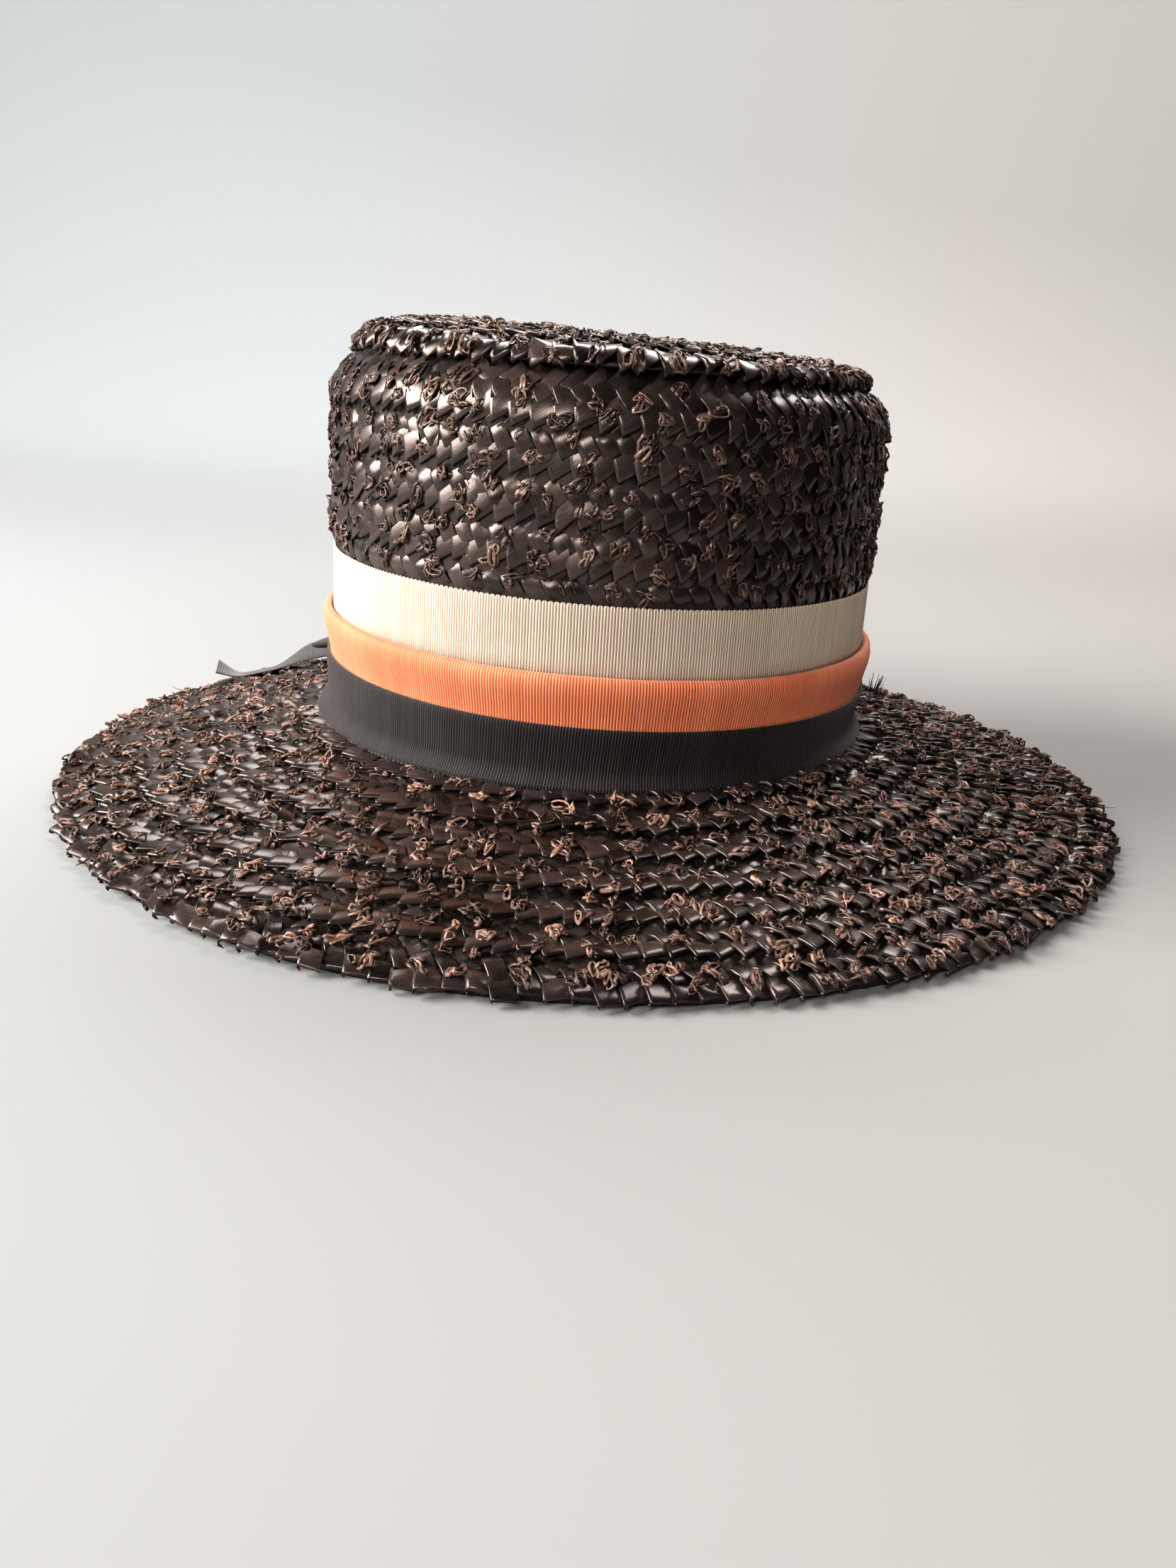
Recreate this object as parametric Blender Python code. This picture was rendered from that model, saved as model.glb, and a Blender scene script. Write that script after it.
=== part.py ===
"""Boater-style hat of sewn straw braid, with a band of three folded ribbons and a flat bow.

Metres, +Z up, standing crown up on the brim's edge. The origin is on the floor under the
middle of the crown, +X is the right side seen from the front, and -Y is the front.
"""

import math

import bmesh
import bpy
import numpy as np
from mathutils import Vector

MM = 0.001

# Crown, an upright oval. Half sizes are to the outside of the straw.
CROWN_HALF_WIDTH = 84.0 * MM
CROWN_HALF_DEPTH = 98.3 * MM
CROWN_SIDE_HEIGHT = 107.4 * MM
BAND_SHIFT = 1.2 * MM
TOP_SHIFT = 1.1 * MM
SHOULDER_INSET = 6.0 * MM
SHOULDER_HEIGHT = 20.0 * MM
LIP_OVERHANG = 0.6 * MM
TIP_DOME = 5.2 * MM
SIDE_LEAN = 2.4 * MM
TIP_LEAN = 2.0 * MM

# Brim, sloping down from the crown to the edge that it stands on.
BRIM_REACH = 81.7 * MM
BRIM_DROP = 22.0 * MM
EDGE_FLAT = 2.5 * MM

# Straw braid, sewn in rounds that overlap like shingles.
STRAW_WALL = 2.4 * MM
ROW_PITCH = 12.2 * MM
ROW_STEP = 1.1 * MM
ROW_EDGE_RUN = 0.4 * MM

# Ribbon band: heights above the crown's foot, and how far each layer stands off the straw.
CREAM_TOP = 49.8 * MM
CORAL_TOP = 31.4 * MM
CHARCOAL_TOP = 17.6 * MM
RIBBON_OVERLAP = 5.0 * MM
RIBBON_THICKNESS = 0.7 * MM
CORAL_ROLL = 2.7 * MM
CORAL_ROLL_HEIGHT = 6.0 * MM
CHARCOAL_FLARE = 3.4 * MM
CHARCOAL_FLARE_HEIGHT = 5.0 * MM

# Bow, on the brim against the charcoal ribbon, behind the left side. Its loops stand over its
# tails. Along is the way round the crown towards the front, and out is away from it.
BOW_AZIMUTH_DEG = 134.0
BOW_RIBBON_WIDTH = 16.0 * MM
BOW_STRIP = 0.7 * MM
LOOP_LENGTH = 38.0 * MM
LOOP_HEIGHT = 6.5 * MM
LOOP_LIFT = 7.0 * MM
LOOP_NECK = 10.0 * MM
KNOT_LENGTH = 12.0 * MM
KNOT_DEPTH = 14.0 * MM
KNOT_HEIGHT = 13.0 * MM
KNOT_ROUNDING = 2.5 * MM
TAIL_WIDTH = 20.0 * MM
TAIL_NECK = 8.0 * MM
SIDE_TAIL_LENGTH = 0.826 * BRIM_REACH
SIDE_TAIL_HEADING_DEG = 191.0
BACK_TAIL_LENGTH = 0.857 * BRIM_REACH
BACK_TAIL_HEADING_DEG = 82.0

# Clearance between pieces that lie on each other.
SEAT_GAP = 0.3 * MM

SIDES_ROUND = 72
LOOP_STATIONS = 20
TAIL_STATIONS = 16

# Heights that follow from the sizes above.
FOOT_HEIGHT = BRIM_DROP + STRAW_WALL
SIDE_FOOT = FOOT_HEIGHT + SEAT_GAP
SIDE_TOP = SIDE_FOOT + CROWN_SIDE_HEIGHT
LIP_UNDERSIDE = SIDE_TOP + SEAT_GAP
BAND_TOP = FOOT_HEIGHT + CREAM_TOP

# How far the bow stands off the crown's oval, clear of the charcoal ribbon's flared foot.
BOW_SEAT = CHARCOAL_FLARE + RIBBON_THICKNESS + 2.0 * SEAT_GAP

# Lift of a bow tail's front and back edges off the brim, at shares of the tail's length,
# as shares of the lift scale.
TAIL_LIFT = 8.0 * MM
SIDE_TAIL_LIFTS = [
    {"along": 0.00, "front": 0.05, "back": 0.30},
    {"along": 0.25, "front": 0.08, "back": 0.60},
    {"along": 0.45, "front": 0.10, "back": 0.58},
    {"along": 0.56, "front": 0.08, "back": 0.24},
    {"along": 0.68, "front": 0.05, "back": 0.05},
    {"along": 0.84, "front": 0.05, "back": 0.05},
    {"along": 0.94, "front": 0.22, "back": 0.36},
    {"along": 1.00, "front": 0.40, "back": 0.85},
]
BACK_TAIL_LIFTS = [
    {"along": 0.00, "front": 0.05, "back": 0.05},
    {"along": 0.30, "front": 0.40, "back": 0.30},
    {"along": 0.55, "front": 0.10, "back": 0.08},
    {"along": 0.85, "front": 0.06, "back": 0.06},
    {"along": 1.00, "front": 0.28, "back": 0.20},
]

COLOURS = {
    "straw_braid": {"colour": (0.045, 0.028, 0.022), "roughness": 0.35},
    "ribbon_cream": {"colour": (0.78, 0.70, 0.56), "roughness": 0.75},
    "ribbon_coral": {"colour": (0.88, 0.26, 0.11), "roughness": 0.75},
    "ribbon_charcoal": {"colour": (0.035, 0.032, 0.034), "roughness": 0.75},
}


def finish(name):
    """The material of that name, made once."""
    material = bpy.data.materials.get(name)
    if material is None:
        material = bpy.data.materials.new(name)
        material.use_nodes = True
        shader = material.node_tree.nodes["Principled BSDF"]
        shader.inputs["Base Color"].default_value = (*COLOURS[name]["colour"], 1.0)
        shader.inputs["Roughness"].default_value = COLOURS[name]["roughness"]
        shader.inputs["Metallic"].default_value = 0.0
    return material


def smooth_share(value):
    """0 below 0, 1 above 1, and an even S between."""
    share = min(max(value, 0.0), 1.0)
    return share * share * (3.0 - 2.0 * share)


def leaned(x, y, height, extra=0.0):
    """A point of the crown: over the foot it shifts towards +X and its height falls that way."""
    share = min(max((height - FOOT_HEIGHT) / CHARCOAL_TOP, 0.0), 1.0)
    rise = max(height - FOOT_HEIGHT, 0.0) / CROWN_SIDE_HEIGHT
    fall = (SIDE_LEAN * share + extra) * x / CROWN_HALF_WIDTH
    return Vector((x + BAND_SHIFT * share + TOP_SHIFT * rise, y, height - fall))


def oval_point(angle, reach, height):
    """A point at a distance from the crown's outer oval, outwards if positive."""
    x = (CROWN_HALF_WIDTH + reach) * math.cos(angle)
    y = (CROWN_HALF_DEPTH + reach) * math.sin(angle)
    return leaned(x, y, height)


def angles_round():
    return [2.0 * math.pi * i / SIDES_ROUND for i in range(SIDES_ROUND)]


def new_object(name, bm, material_name):
    """Puts a closed bmesh into the scene as a named, smooth-shaded object."""
    bmesh.ops.recalc_face_normals(bm, faces=bm.faces)
    mesh = bpy.data.meshes.new(name)
    bm.to_mesh(mesh)
    bm.free()
    mesh.shade_smooth()
    mesh.set_sharp_from_angle(angle=math.radians(35.0))
    mesh.materials.append(finish(material_name))
    made = bpy.data.objects.new(name, mesh)
    bpy.context.scene.collection.objects.link(made)
    return made


def bridge_rings(bm, rings, closed):
    """Quads between neighbouring rings of vertices, and from the last to the first if closed."""
    pairs = list(zip(rings, rings[1:]))
    if closed:
        pairs.append((rings[-1], rings[0]))
    for low, high in pairs:
        for i in range(len(low)):
            j = (i + 1) % len(low)
            bm.faces.new((low[i], low[j], high[j], high[i]))


def ring_solid(name, section, material_name):
    """Carries a closed section of (reach, height) round the crown's oval."""
    bm = bmesh.new()
    rings = [
        [bm.verts.new(oval_point(angle, reach, height)) for angle in angles_round()]
        for reach, height in section
    ]
    bridge_rings(bm, rings, closed=True)
    return new_object(name, bm, material_name)


def row_edges(start, stop):
    """Where rounds of braid end, from start towards stop, one row pitch apart."""
    count = math.ceil((stop - start) / ROW_PITCH - 1e-6)
    return [start + ROW_PITCH * k for k in range(1, count)]


def brim_top(reach):
    """Height of the brim's upper side, before the steps of its rounds."""
    return STRAW_WALL + BRIM_DROP * (1.0 - reach / BRIM_REACH)


def build_brim():
    """One closed ring: shingled rounds above, a plain underside, and a flat edge to stand on."""
    inner = -STRAW_WALL
    section = [(inner, FOOT_HEIGHT), (0.0, FOOT_HEIGHT)]
    edges = sorted(BRIM_REACH - r for r in row_edges(0.0, BRIM_REACH))
    for edge in edges:
        section.append((edge, brim_top(edge) + ROW_STEP))
        section.append((edge + ROW_EDGE_RUN, brim_top(edge + ROW_EDGE_RUN)))
    section.append((BRIM_REACH, STRAW_WALL))
    section.append((BRIM_REACH, 0.0))
    section.append((BRIM_REACH - EDGE_FLAT, 0.0))
    section.append((BRIM_REACH / 2.0, brim_top(BRIM_REACH / 2.0) - STRAW_WALL))
    section.append((inner, BRIM_DROP))
    return ring_solid("brim", section, "straw_braid")


def side_reach(height):
    """How far the crown's outside is drawn in towards its top shoulder, as a square curve."""
    share = min(max((height - (SIDE_TOP - SHOULDER_HEIGHT)) / SHOULDER_HEIGHT, 0.0), 1.0)
    return -SHOULDER_INSET * share * share


def build_crown_side():
    """An upright wall whose upper rounds overlap the ones below; plain under the ribbons."""
    bend = FOOT_HEIGHT + CHARCOAL_TOP
    section = [(-STRAW_WALL, SIDE_FOOT), (0.0, SIDE_FOOT), (0.0, bend), (0.0, BAND_TOP)]
    edges = [SIDE_TOP - drop for drop in row_edges(0.0, SIDE_TOP - BAND_TOP)]
    for edge in sorted(edges):
        section.append((side_reach(edge), edge - ROW_EDGE_RUN))
        section.append((side_reach(edge) + ROW_STEP, edge))
    section.append((side_reach(SIDE_TOP), SIDE_TOP))
    for height in (SIDE_TOP, SIDE_TOP - SHOULDER_HEIGHT / 2.0, SIDE_TOP - SHOULDER_HEIGHT):
        section.append((side_reach(height) - STRAW_WALL, height))
    section.append((-STRAW_WALL, bend))
    return ring_solid("crown_side", section, "straw_braid")


def tip_height(share):
    """Height of the tip's upper side over the lip's, from the middle (0) to the lip (1)."""
    return TIP_DOME * math.sqrt(max(0.0, 1.0 - share**5))


def tip_point(angle, share, height):
    """A point of the tip at a share of the way out from its middle."""
    draw_in = LIP_OVERHANG - SHOULDER_INSET
    x = share * (CROWN_HALF_WIDTH + draw_in) * math.cos(angle)
    y = share * (CROWN_HALF_DEPTH + draw_in) * math.sin(angle)
    return leaned(x, y, height, extra=TIP_LEAN * tip_height(share) / TIP_DOME)


def build_crown_tip():
    """A low domed disc of rounds, whose lip lies over the top of the side."""
    pitch = ROW_PITCH / CROWN_HALF_WIDTH
    run = ROW_EDGE_RUN / CROWN_HALF_WIDTH
    lip_top = LIP_UNDERSIDE + STRAW_WALL
    rounds = math.ceil(1.0 / pitch) - 1
    tops = [(1.0, lip_top)]
    for k in range(1, rounds):
        edge = 1.0 - pitch * k
        middle = edge + pitch / 2.0
        tops.append((middle, lip_top + tip_height(middle)))
        tops.append((edge + run, lip_top + tip_height(edge + run)))
        tops.append((edge, lip_top + tip_height(edge) + ROW_STEP))
    under = [
        (share, LIP_UNDERSIDE + tip_height(share))
        for share in (pitch, 0.5, 1.0 - 2.0 * pitch, 1.0 - pitch)
    ]
    bm = bmesh.new()
    rings = [
        [bm.verts.new(tip_point(angle, share, height)) for angle in angles_round()]
        for share, height in under + [(1.0, LIP_UNDERSIDE)] + tops
    ]
    bridge_rings(bm, rings, closed=False)
    for ring, height in ((rings[0], LIP_UNDERSIDE), (rings[-1], lip_top)):
        middle = bm.verts.new(tip_point(0.0, 0.0, height + TIP_DOME))
        for i in range(SIDES_ROUND):
            bm.faces.new((ring[i], ring[(i + 1) % SIDES_ROUND], middle))
    return new_object("crown_tip", bm, "straw_braid")


def build_cream_ribbon():
    """The upper ribbon, flat on the straw; its lower part lies under the coral fold."""
    inner = SEAT_GAP
    outer = inner + RIBBON_THICKNESS
    foot = FOOT_HEIGHT + CORAL_TOP - RIBBON_OVERLAP
    section = [(inner, BAND_TOP), (outer, BAND_TOP), (outer, foot), (inner, foot)]
    return ring_solid("ribbon_cream", section, "ribbon_cream")


def coral_seat():
    """How far the coral ribbon's back stands off the straw, to clear the cream one."""
    return 2.0 * SEAT_GAP + RIBBON_THICKNESS


def build_coral_ribbon():
    """The middle ribbon, folded over a soft roll along its top."""
    inner = coral_seat()
    outer = inner + RIBBON_THICKNESS
    top = FOOT_HEIGHT + CORAL_TOP
    foot = FOOT_HEIGHT + CHARCOAL_TOP - RIBBON_OVERLAP
    roll = outer + CORAL_ROLL - RIBBON_THICKNESS
    section = [
        (inner, top - CORAL_ROLL_HEIGHT * 0.08),
        ((inner + roll) / 2.0, top),
        (roll - RIBBON_THICKNESS / 4.0, top - CORAL_ROLL_HEIGHT * 0.22),
        (roll, top - CORAL_ROLL_HEIGHT * 0.6),
        ((outer + roll) / 2.0, top - CORAL_ROLL_HEIGHT * 1.3),
        (outer, FOOT_HEIGHT + CHARCOAL_TOP + SEAT_GAP),
        (outer, foot),
        (inner, foot),
        (inner, FOOT_HEIGHT + CHARCOAL_TOP),
    ]
    return ring_solid("ribbon_coral", section, "ribbon_coral")


def charcoal_seat():
    """How far the charcoal ribbon's folded top stands off the straw, over the coral one."""
    return coral_seat() + RIBBON_THICKNESS + SEAT_GAP


def build_charcoal_ribbon():
    """The lower ribbon: folded top over the coral one, and a foot flaring onto the brim."""
    over = charcoal_seat()
    outer = over + RIBBON_THICKNESS
    top = FOOT_HEIGHT + CHARCOAL_TOP
    step = FOOT_HEIGHT + CHARCOAL_TOP - RIBBON_OVERLAP - SEAT_GAP
    flare = SEAT_GAP + CHARCOAL_FLARE
    brim_clear = SEAT_GAP + ROW_STEP
    foot_in = brim_top(flare) + brim_clear
    foot_out = brim_top(flare + RIBBON_THICKNESS) + brim_clear
    waist = foot_out + CHARCOAL_FLARE_HEIGHT
    section = [
        (over, top),
        (outer, top - RIBBON_THICKNESS / 3.0),
        (outer, top - RIBBON_OVERLAP / 2.0),
        (SEAT_GAP + RIBBON_THICKNESS * 2.0, waist),
        (flare + RIBBON_THICKNESS, foot_out),
        (flare, foot_in),
        (SEAT_GAP, waist),
        (SEAT_GAP, step - SEAT_GAP),
        (over, step),
    ]
    return ring_solid("ribbon_charcoal", section, "ribbon_charcoal")


def bow_frame():
    """The crown's foot behind the bow, and the ways along and out, all in plan."""
    azimuth = math.radians(BOW_AZIMUTH_DEG)
    across, deep = math.cos(azimuth), math.sin(azimuth)
    foot = Vector((across * CROWN_HALF_WIDTH, deep * CROWN_HALF_DEPTH, 0.0))
    out = Vector((across / CROWN_HALF_WIDTH, deep / CROWN_HALF_DEPTH, 0.0)).normalized()
    return foot, Vector((0.0, 0.0, 1.0)).cross(out), out


def reach_of(x, y):
    """How far a point in plan is from the crown's oval, found by halving."""
    low, high = 0.0, BRIM_REACH * 1.5
    for _ in range(40):
        reach = (low + high) / 2.0
        spread = (x / (CROWN_HALF_WIDTH + reach)) ** 2 + (y / (CROWN_HALF_DEPTH + reach)) ** 2
        if spread > 1.0:
            low = reach
        else:
            high = reach
    return low


def on_brim(plan, lift):
    """A point over the brim, lifted off the highest steps of its rounds."""
    height = brim_top(reach_of(plan.x, plan.y)) + ROW_STEP + SEAT_GAP
    return Vector((plan.x, plan.y, height + lift))


def strip_solid(name, rings_of_corners, material_name):
    """A ribbon strip from rings of four corners, closed at both ends."""
    bm = bmesh.new()
    rings = [[bm.verts.new(corner) for corner in corners] for corners in rings_of_corners]
    bridge_rings(bm, rings, closed=False)
    bm.faces.new(rings[0])
    bm.faces.new(rings[-1])
    return new_object(name, bm, material_name)


def loop_path():
    """Out over the brim, round the loop's end and back on top: (along, lift, fullness)."""
    start = KNOT_LENGTH / 2.0 + SEAT_GAP
    neck_low = KNOT_HEIGHT * 0.4
    neck_high = KNOT_HEIGHT * 0.75
    path = []
    for i in range(LOOP_STATIONS + 1):
        turn = math.pi * i / LOOP_STATIONS
        fullness = math.sin(turn) ** 0.5
        rise = 0.5 * (1.0 - math.cos(turn))
        low = neck_low + (LOOP_LIFT + BOW_STRIP / 2.0 - neck_low) * fullness
        high = neck_high + (LOOP_LIFT + LOOP_HEIGHT - BOW_STRIP / 2.0 - neck_high) * fullness
        length = start + LOOP_LENGTH * math.sin(turn) ** 0.75
        path.append((length, low + (high - low) * rise, fullness))
    return path


def build_loop(name, direction):
    """One loop, its ribbon lying flat over the brim, on the given side of the knot."""
    foot, along, out = bow_frame()
    path = loop_path()
    rings = []
    for i, (length, lift, fullness) in enumerate(path):
        before, after = path[max(i - 1, 0)], path[min(i + 1, LOOP_STATIONS)]
        run, rise = after[0] - before[0], after[1] - before[1]
        size = math.hypot(run, rise)
        aside, up = -rise / size * BOW_STRIP / 2.0, run / size * BOW_STRIP / 2.0
        width = LOOP_NECK + (BOW_RIBBON_WIDTH - LOOP_NECK) * fullness
        corners = []
        for depth, side in ((0.0, 1.0), (width, 1.0), (width, -1.0), (0.0, -1.0)):
            plan = foot + along * (direction * (length + side * aside)) + out * (BOW_SEAT + depth)
            corners.append(on_brim(plan, lift + side * up))
        rings.append(corners)
    return strip_solid(name, rings, "ribbon_charcoal")


def build_knot():
    """A rounded block wrapped in ribbon, over the middle of the bow."""
    foot, along, out = bow_frame()
    outline = []
    corner_steps = 4
    for index, (up_sign, out_sign) in enumerate(((1, 1), (-1, 1), (-1, -1), (1, -1))):
        for k in range(corner_steps + 1):
            turn = math.pi / 2.0 * (index + k / corner_steps)
            up = up_sign * (KNOT_HEIGHT / 2.0 - KNOT_ROUNDING) + KNOT_ROUNDING * math.cos(turn)
            depth = out_sign * (KNOT_DEPTH / 2.0 - KNOT_ROUNDING) + KNOT_ROUNDING * math.sin(turn)
            outline.append((up, depth))
    bm = bmesh.new()
    rings = []
    for share, scale in ((-0.5, 0.8), (-0.3, 1.0), (0.3, 1.0), (0.5, 0.8)):
        ring = []
        for up, depth in outline:
            plan = foot + along * (share * KNOT_LENGTH)
            plan = plan + out * (BOW_SEAT + KNOT_DEPTH / 2.0 + depth * scale)
            ring.append(bm.verts.new(on_brim(plan, KNOT_HEIGHT / 2.0 + up * scale)))
        rings.append(ring)
    bridge_rings(bm, rings, closed=False)
    bm.faces.new(rings[0])
    bm.faces.new(rings[-1])
    return new_object("bow_knot", bm, "ribbon_charcoal")


def build_tail(name, along_shift, length, heading_deg, lifts):
    """A tail that runs out from under the knot and lies along the brim."""
    foot, along, out = bow_frame()
    heading = math.radians(heading_deg)
    ahead = Vector((math.cos(heading), math.sin(heading), 0.0))
    across = Vector((-ahead.y, ahead.x, 0.0))
    corner_room = abs(across.dot(out)) * TAIL_NECK / 2.0
    depth = BOW_SEAT + KNOT_DEPTH + SEAT_GAP + corner_room
    start = foot + along * along_shift + out * depth
    shares = [row["along"] for row in lifts]
    rings = []
    for i in range(TAIL_STATIONS + 1):
        share = i / TAIL_STATIONS
        width = TAIL_NECK + (TAIL_WIDTH - TAIL_NECK) * smooth_share(share * 3.0)
        plan = start + ahead * (length * share)
        edges = []
        for side, column in ((0.5, "front"), (-0.5, "back")):
            heights = [row[column] * TAIL_LIFT for row in lifts]
            edges.append((plan + across * (width * side), float(np.interp(share, shares, heights))))
        front, back = edges
        rings.append(
            [
                on_brim(front[0], front[1] + BOW_STRIP),
                on_brim(back[0], back[1] + BOW_STRIP),
                on_brim(back[0], back[1]),
                on_brim(front[0], front[1]),
            ]
        )
    return strip_solid(name, rings, "ribbon_charcoal")


def build_bow():
    build_loop("bow_loop_front", 1.0)
    build_loop("bow_loop_back", -1.0)
    build_knot()
    shift = KNOT_LENGTH / 4.0
    build_tail("bow_tail_side", shift, SIDE_TAIL_LENGTH, SIDE_TAIL_HEADING_DEG, SIDE_TAIL_LIFTS)
    build_tail("bow_tail_back", -shift, BACK_TAIL_LENGTH, BACK_TAIL_HEADING_DEG, BACK_TAIL_LIFTS)


def clear_scene():
    for old in list(bpy.data.objects):
        bpy.data.objects.remove(old)


clear_scene()
build_brim()
build_crown_side()
build_crown_tip()
build_cream_ribbon()
build_coral_ribbon()
build_charcoal_ribbon()
build_bow()
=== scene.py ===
"""Dark braided straw hat with a band of three ribbons and a flat bow, standing on its brim.

Lengths are in millimetres until a mesh is made. +Z is up, -Y the front and +X the right.
"""

import bpy
import numpy as np
from mathutils import Euler, Matrix, Vector


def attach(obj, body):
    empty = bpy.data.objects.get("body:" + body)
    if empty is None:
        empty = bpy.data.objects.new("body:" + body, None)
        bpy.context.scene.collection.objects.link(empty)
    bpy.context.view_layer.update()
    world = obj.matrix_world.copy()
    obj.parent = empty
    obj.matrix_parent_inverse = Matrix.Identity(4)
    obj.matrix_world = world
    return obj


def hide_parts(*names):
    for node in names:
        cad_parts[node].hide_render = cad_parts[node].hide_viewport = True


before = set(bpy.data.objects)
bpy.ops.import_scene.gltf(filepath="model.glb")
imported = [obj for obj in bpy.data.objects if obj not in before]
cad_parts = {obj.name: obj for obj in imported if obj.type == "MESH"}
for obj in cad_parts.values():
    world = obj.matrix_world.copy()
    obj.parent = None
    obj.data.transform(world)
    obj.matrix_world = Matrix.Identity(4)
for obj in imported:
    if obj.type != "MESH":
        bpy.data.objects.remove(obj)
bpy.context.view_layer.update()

# The brim's straw shell.
# The brim is one long plaited straw braid, sewn round and round so that each round laps over
# the next one out. This shell is the braid's body, and the plait lies on it.

MM = 0.001
CROWN_HALF_WIDTH = 84.0
CROWN_HALF_DEPTH = 98.3
BRIM_REACH = 81.7
BRIM_DROP = 22.0
BRIM_EDGE_FLAT = 2.5
STRAW_WALL = 2.4
ROUND_PITCH = 12.2
ROUND_STEP = 1.1
BRIM_ROUNDS = int(BRIM_REACH // ROUND_PITCH) + 1
SHINGLE_LIFT = ROUND_STEP * 0.8
SHINGLE_BELLY = ROUND_STEP * 0.3
SHINGLE_START = 0.3
SHINGLE_STOP = 0.1
HEM_LIFT = 0.2
BRIM_EDGE_IN = 0.6
STATIONS_ROUND = 360
FOOT_HEIGHT = BRIM_DROP + STRAW_WALL


def brim_top(reach):
    """The brim's height falls evenly from the crown to the edge."""
    return STRAW_WALL + BRIM_DROP * (1.0 - reach / BRIM_REACH)


def oval(angle, reach):
    """The crown's oval, grown outwards by reach on both half sizes."""
    x = (CROWN_HALF_WIDTH + reach) * np.cos(angle)
    y = (CROWN_HALF_DEPTH + reach) * np.sin(angle)
    return x, y


def brim_at(angle, across, lift):
    """A point of the brim: across is in from its edge, and lift is along its sloping normal."""
    slope = BRIM_DROP / BRIM_REACH
    size = np.hypot(1.0, slope)
    reach = BRIM_REACH - across
    x, y = oval(angle, reach + lift * slope / size)
    return np.stack(np.broadcast_arrays(x, y, brim_top(reach) + lift / size), axis=-1)


def piece_from(name, points, faces, finish):
    """A mesh object from points in millimetres and four-cornered faces, at the origin."""
    points = np.asarray(points, dtype=np.float64).reshape(-1, 3) * MM
    faces = np.asarray(faces, dtype=np.int32).reshape(-1, 4)
    mesh = bpy.data.meshes.new(name)
    mesh.vertices.add(len(points))
    mesh.vertices.foreach_set("co", points.ravel())
    mesh.loops.add(faces.size)
    mesh.loops.foreach_set("vertex_index", faces.ravel())
    mesh.polygons.add(len(faces))
    mesh.polygons.foreach_set("loop_start", np.arange(0, faces.size, 4, dtype=np.int32))
    mesh.polygons.foreach_set("use_smooth", np.full(len(faces), True))
    mesh.update(calc_edges=True)
    mesh.materials.append(finish)
    made = bpy.data.objects.new(name, mesh)
    bpy.context.scene.collection.objects.link(made)
    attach(made, "root")
    return made


def tube_faces(rings, around, close_rings=False):
    """Faces between rings of points, each closed round; the last ring meets the first if asked."""
    ring = np.arange(rings if close_rings else rings - 1)[:, None]
    step = np.arange(around)[None, :]
    after = (step + 1) % around
    up = (ring + 1) % rings
    corners = (ring * around + step, ring * around + after, up * around + after, up * around + step)
    return np.stack(np.broadcast_arrays(*corners), axis=-1).reshape(-1, 4)


def join_or_set(tree, node, inputs):
    """Joins each named input of a node to a socket, or sets it to a plain value."""
    for name, value in inputs.items():
        if isinstance(value, bpy.types.NodeSocket):
            tree.links.new(value, node.inputs[name])
        else:
            node.inputs[name].default_value = value


def add_node(tree, kind, inputs, **settings):
    """A shader node of a kind: its settings are made first, and then its inputs."""
    node = tree.nodes.new("ShaderNode" + kind)
    for name, value in settings.items():
        setattr(node, name, value)
    join_or_set(tree, node, inputs)
    return node


def mix_colours(tree, factor, dark, light):
    """A colour between two by a factor socket. Each is a socket, or red, green and blue."""
    ends = [end if isinstance(end, bpy.types.NodeSocket) else (*end, 1.0) for end in (dark, light)]
    inputs = {"Factor": factor, "A": ends[0], "B": ends[1]}
    return add_node(tree, "Mix", inputs, data_type="RGBA").outputs["Result"]


def times_plus(tree, value, factor, added, clamp=False):
    """A value times a factor, plus a number or another value."""
    inputs = {0: value, 1: factor, 2: added}
    node = add_node(tree, "Math", inputs, operation="MULTIPLY_ADD", use_clamp=clamp)
    return node.outputs["Value"]


def noise(tree, vector, scale, detail):
    """Smooth random values over a place, with finer ones added to them."""
    inputs = {"Vector": vector, "Scale": scale, "Detail": detail}
    return add_node(tree, "TexNoise", inputs).outputs["Fac"]


def effect_group(name, takes, gives):
    """An empty node group from vectors to values, with its inputs and its end node."""
    group = bpy.data.node_groups.new(name, "ShaderNodeTree")
    for socket in takes:
        group.interface.new_socket(socket, in_out="INPUT", socket_type="NodeSocketVector")
    for socket in gives:
        group.interface.new_socket(socket, in_out="OUTPUT", socket_type="NodeSocketFloat")
    return group, group.nodes.new("NodeGroupInput").outputs, group.nodes.new("NodeGroupOutput")


STREAK_STRETCH = (0.22, 3.6, 1.0)
STREAK_SCALE = 1.0
CRUMPLE_SCALE = 620.0


def straw_grain_group():
    """Fine streaks along a strip and a crumpled sheen: noise stretched along U, and plain noise."""
    group, given, end = effect_group("straw_grain", ["Strip", "Place"], ["Streaks", "Crumple"])
    along = add_node(group, "Mapping", {"Vector": given["Strip"], "Scale": STREAK_STRETCH})
    streaks = noise(group, along.outputs["Vector"], STREAK_SCALE, 3.0)
    crumple = noise(group, given["Place"], CRUMPLE_SCALE, 2.0)
    join_or_set(group, end, {"Streaks": streaks, "Crumple": crumple})
    return group


straw_grain = straw_grain_group()


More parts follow.
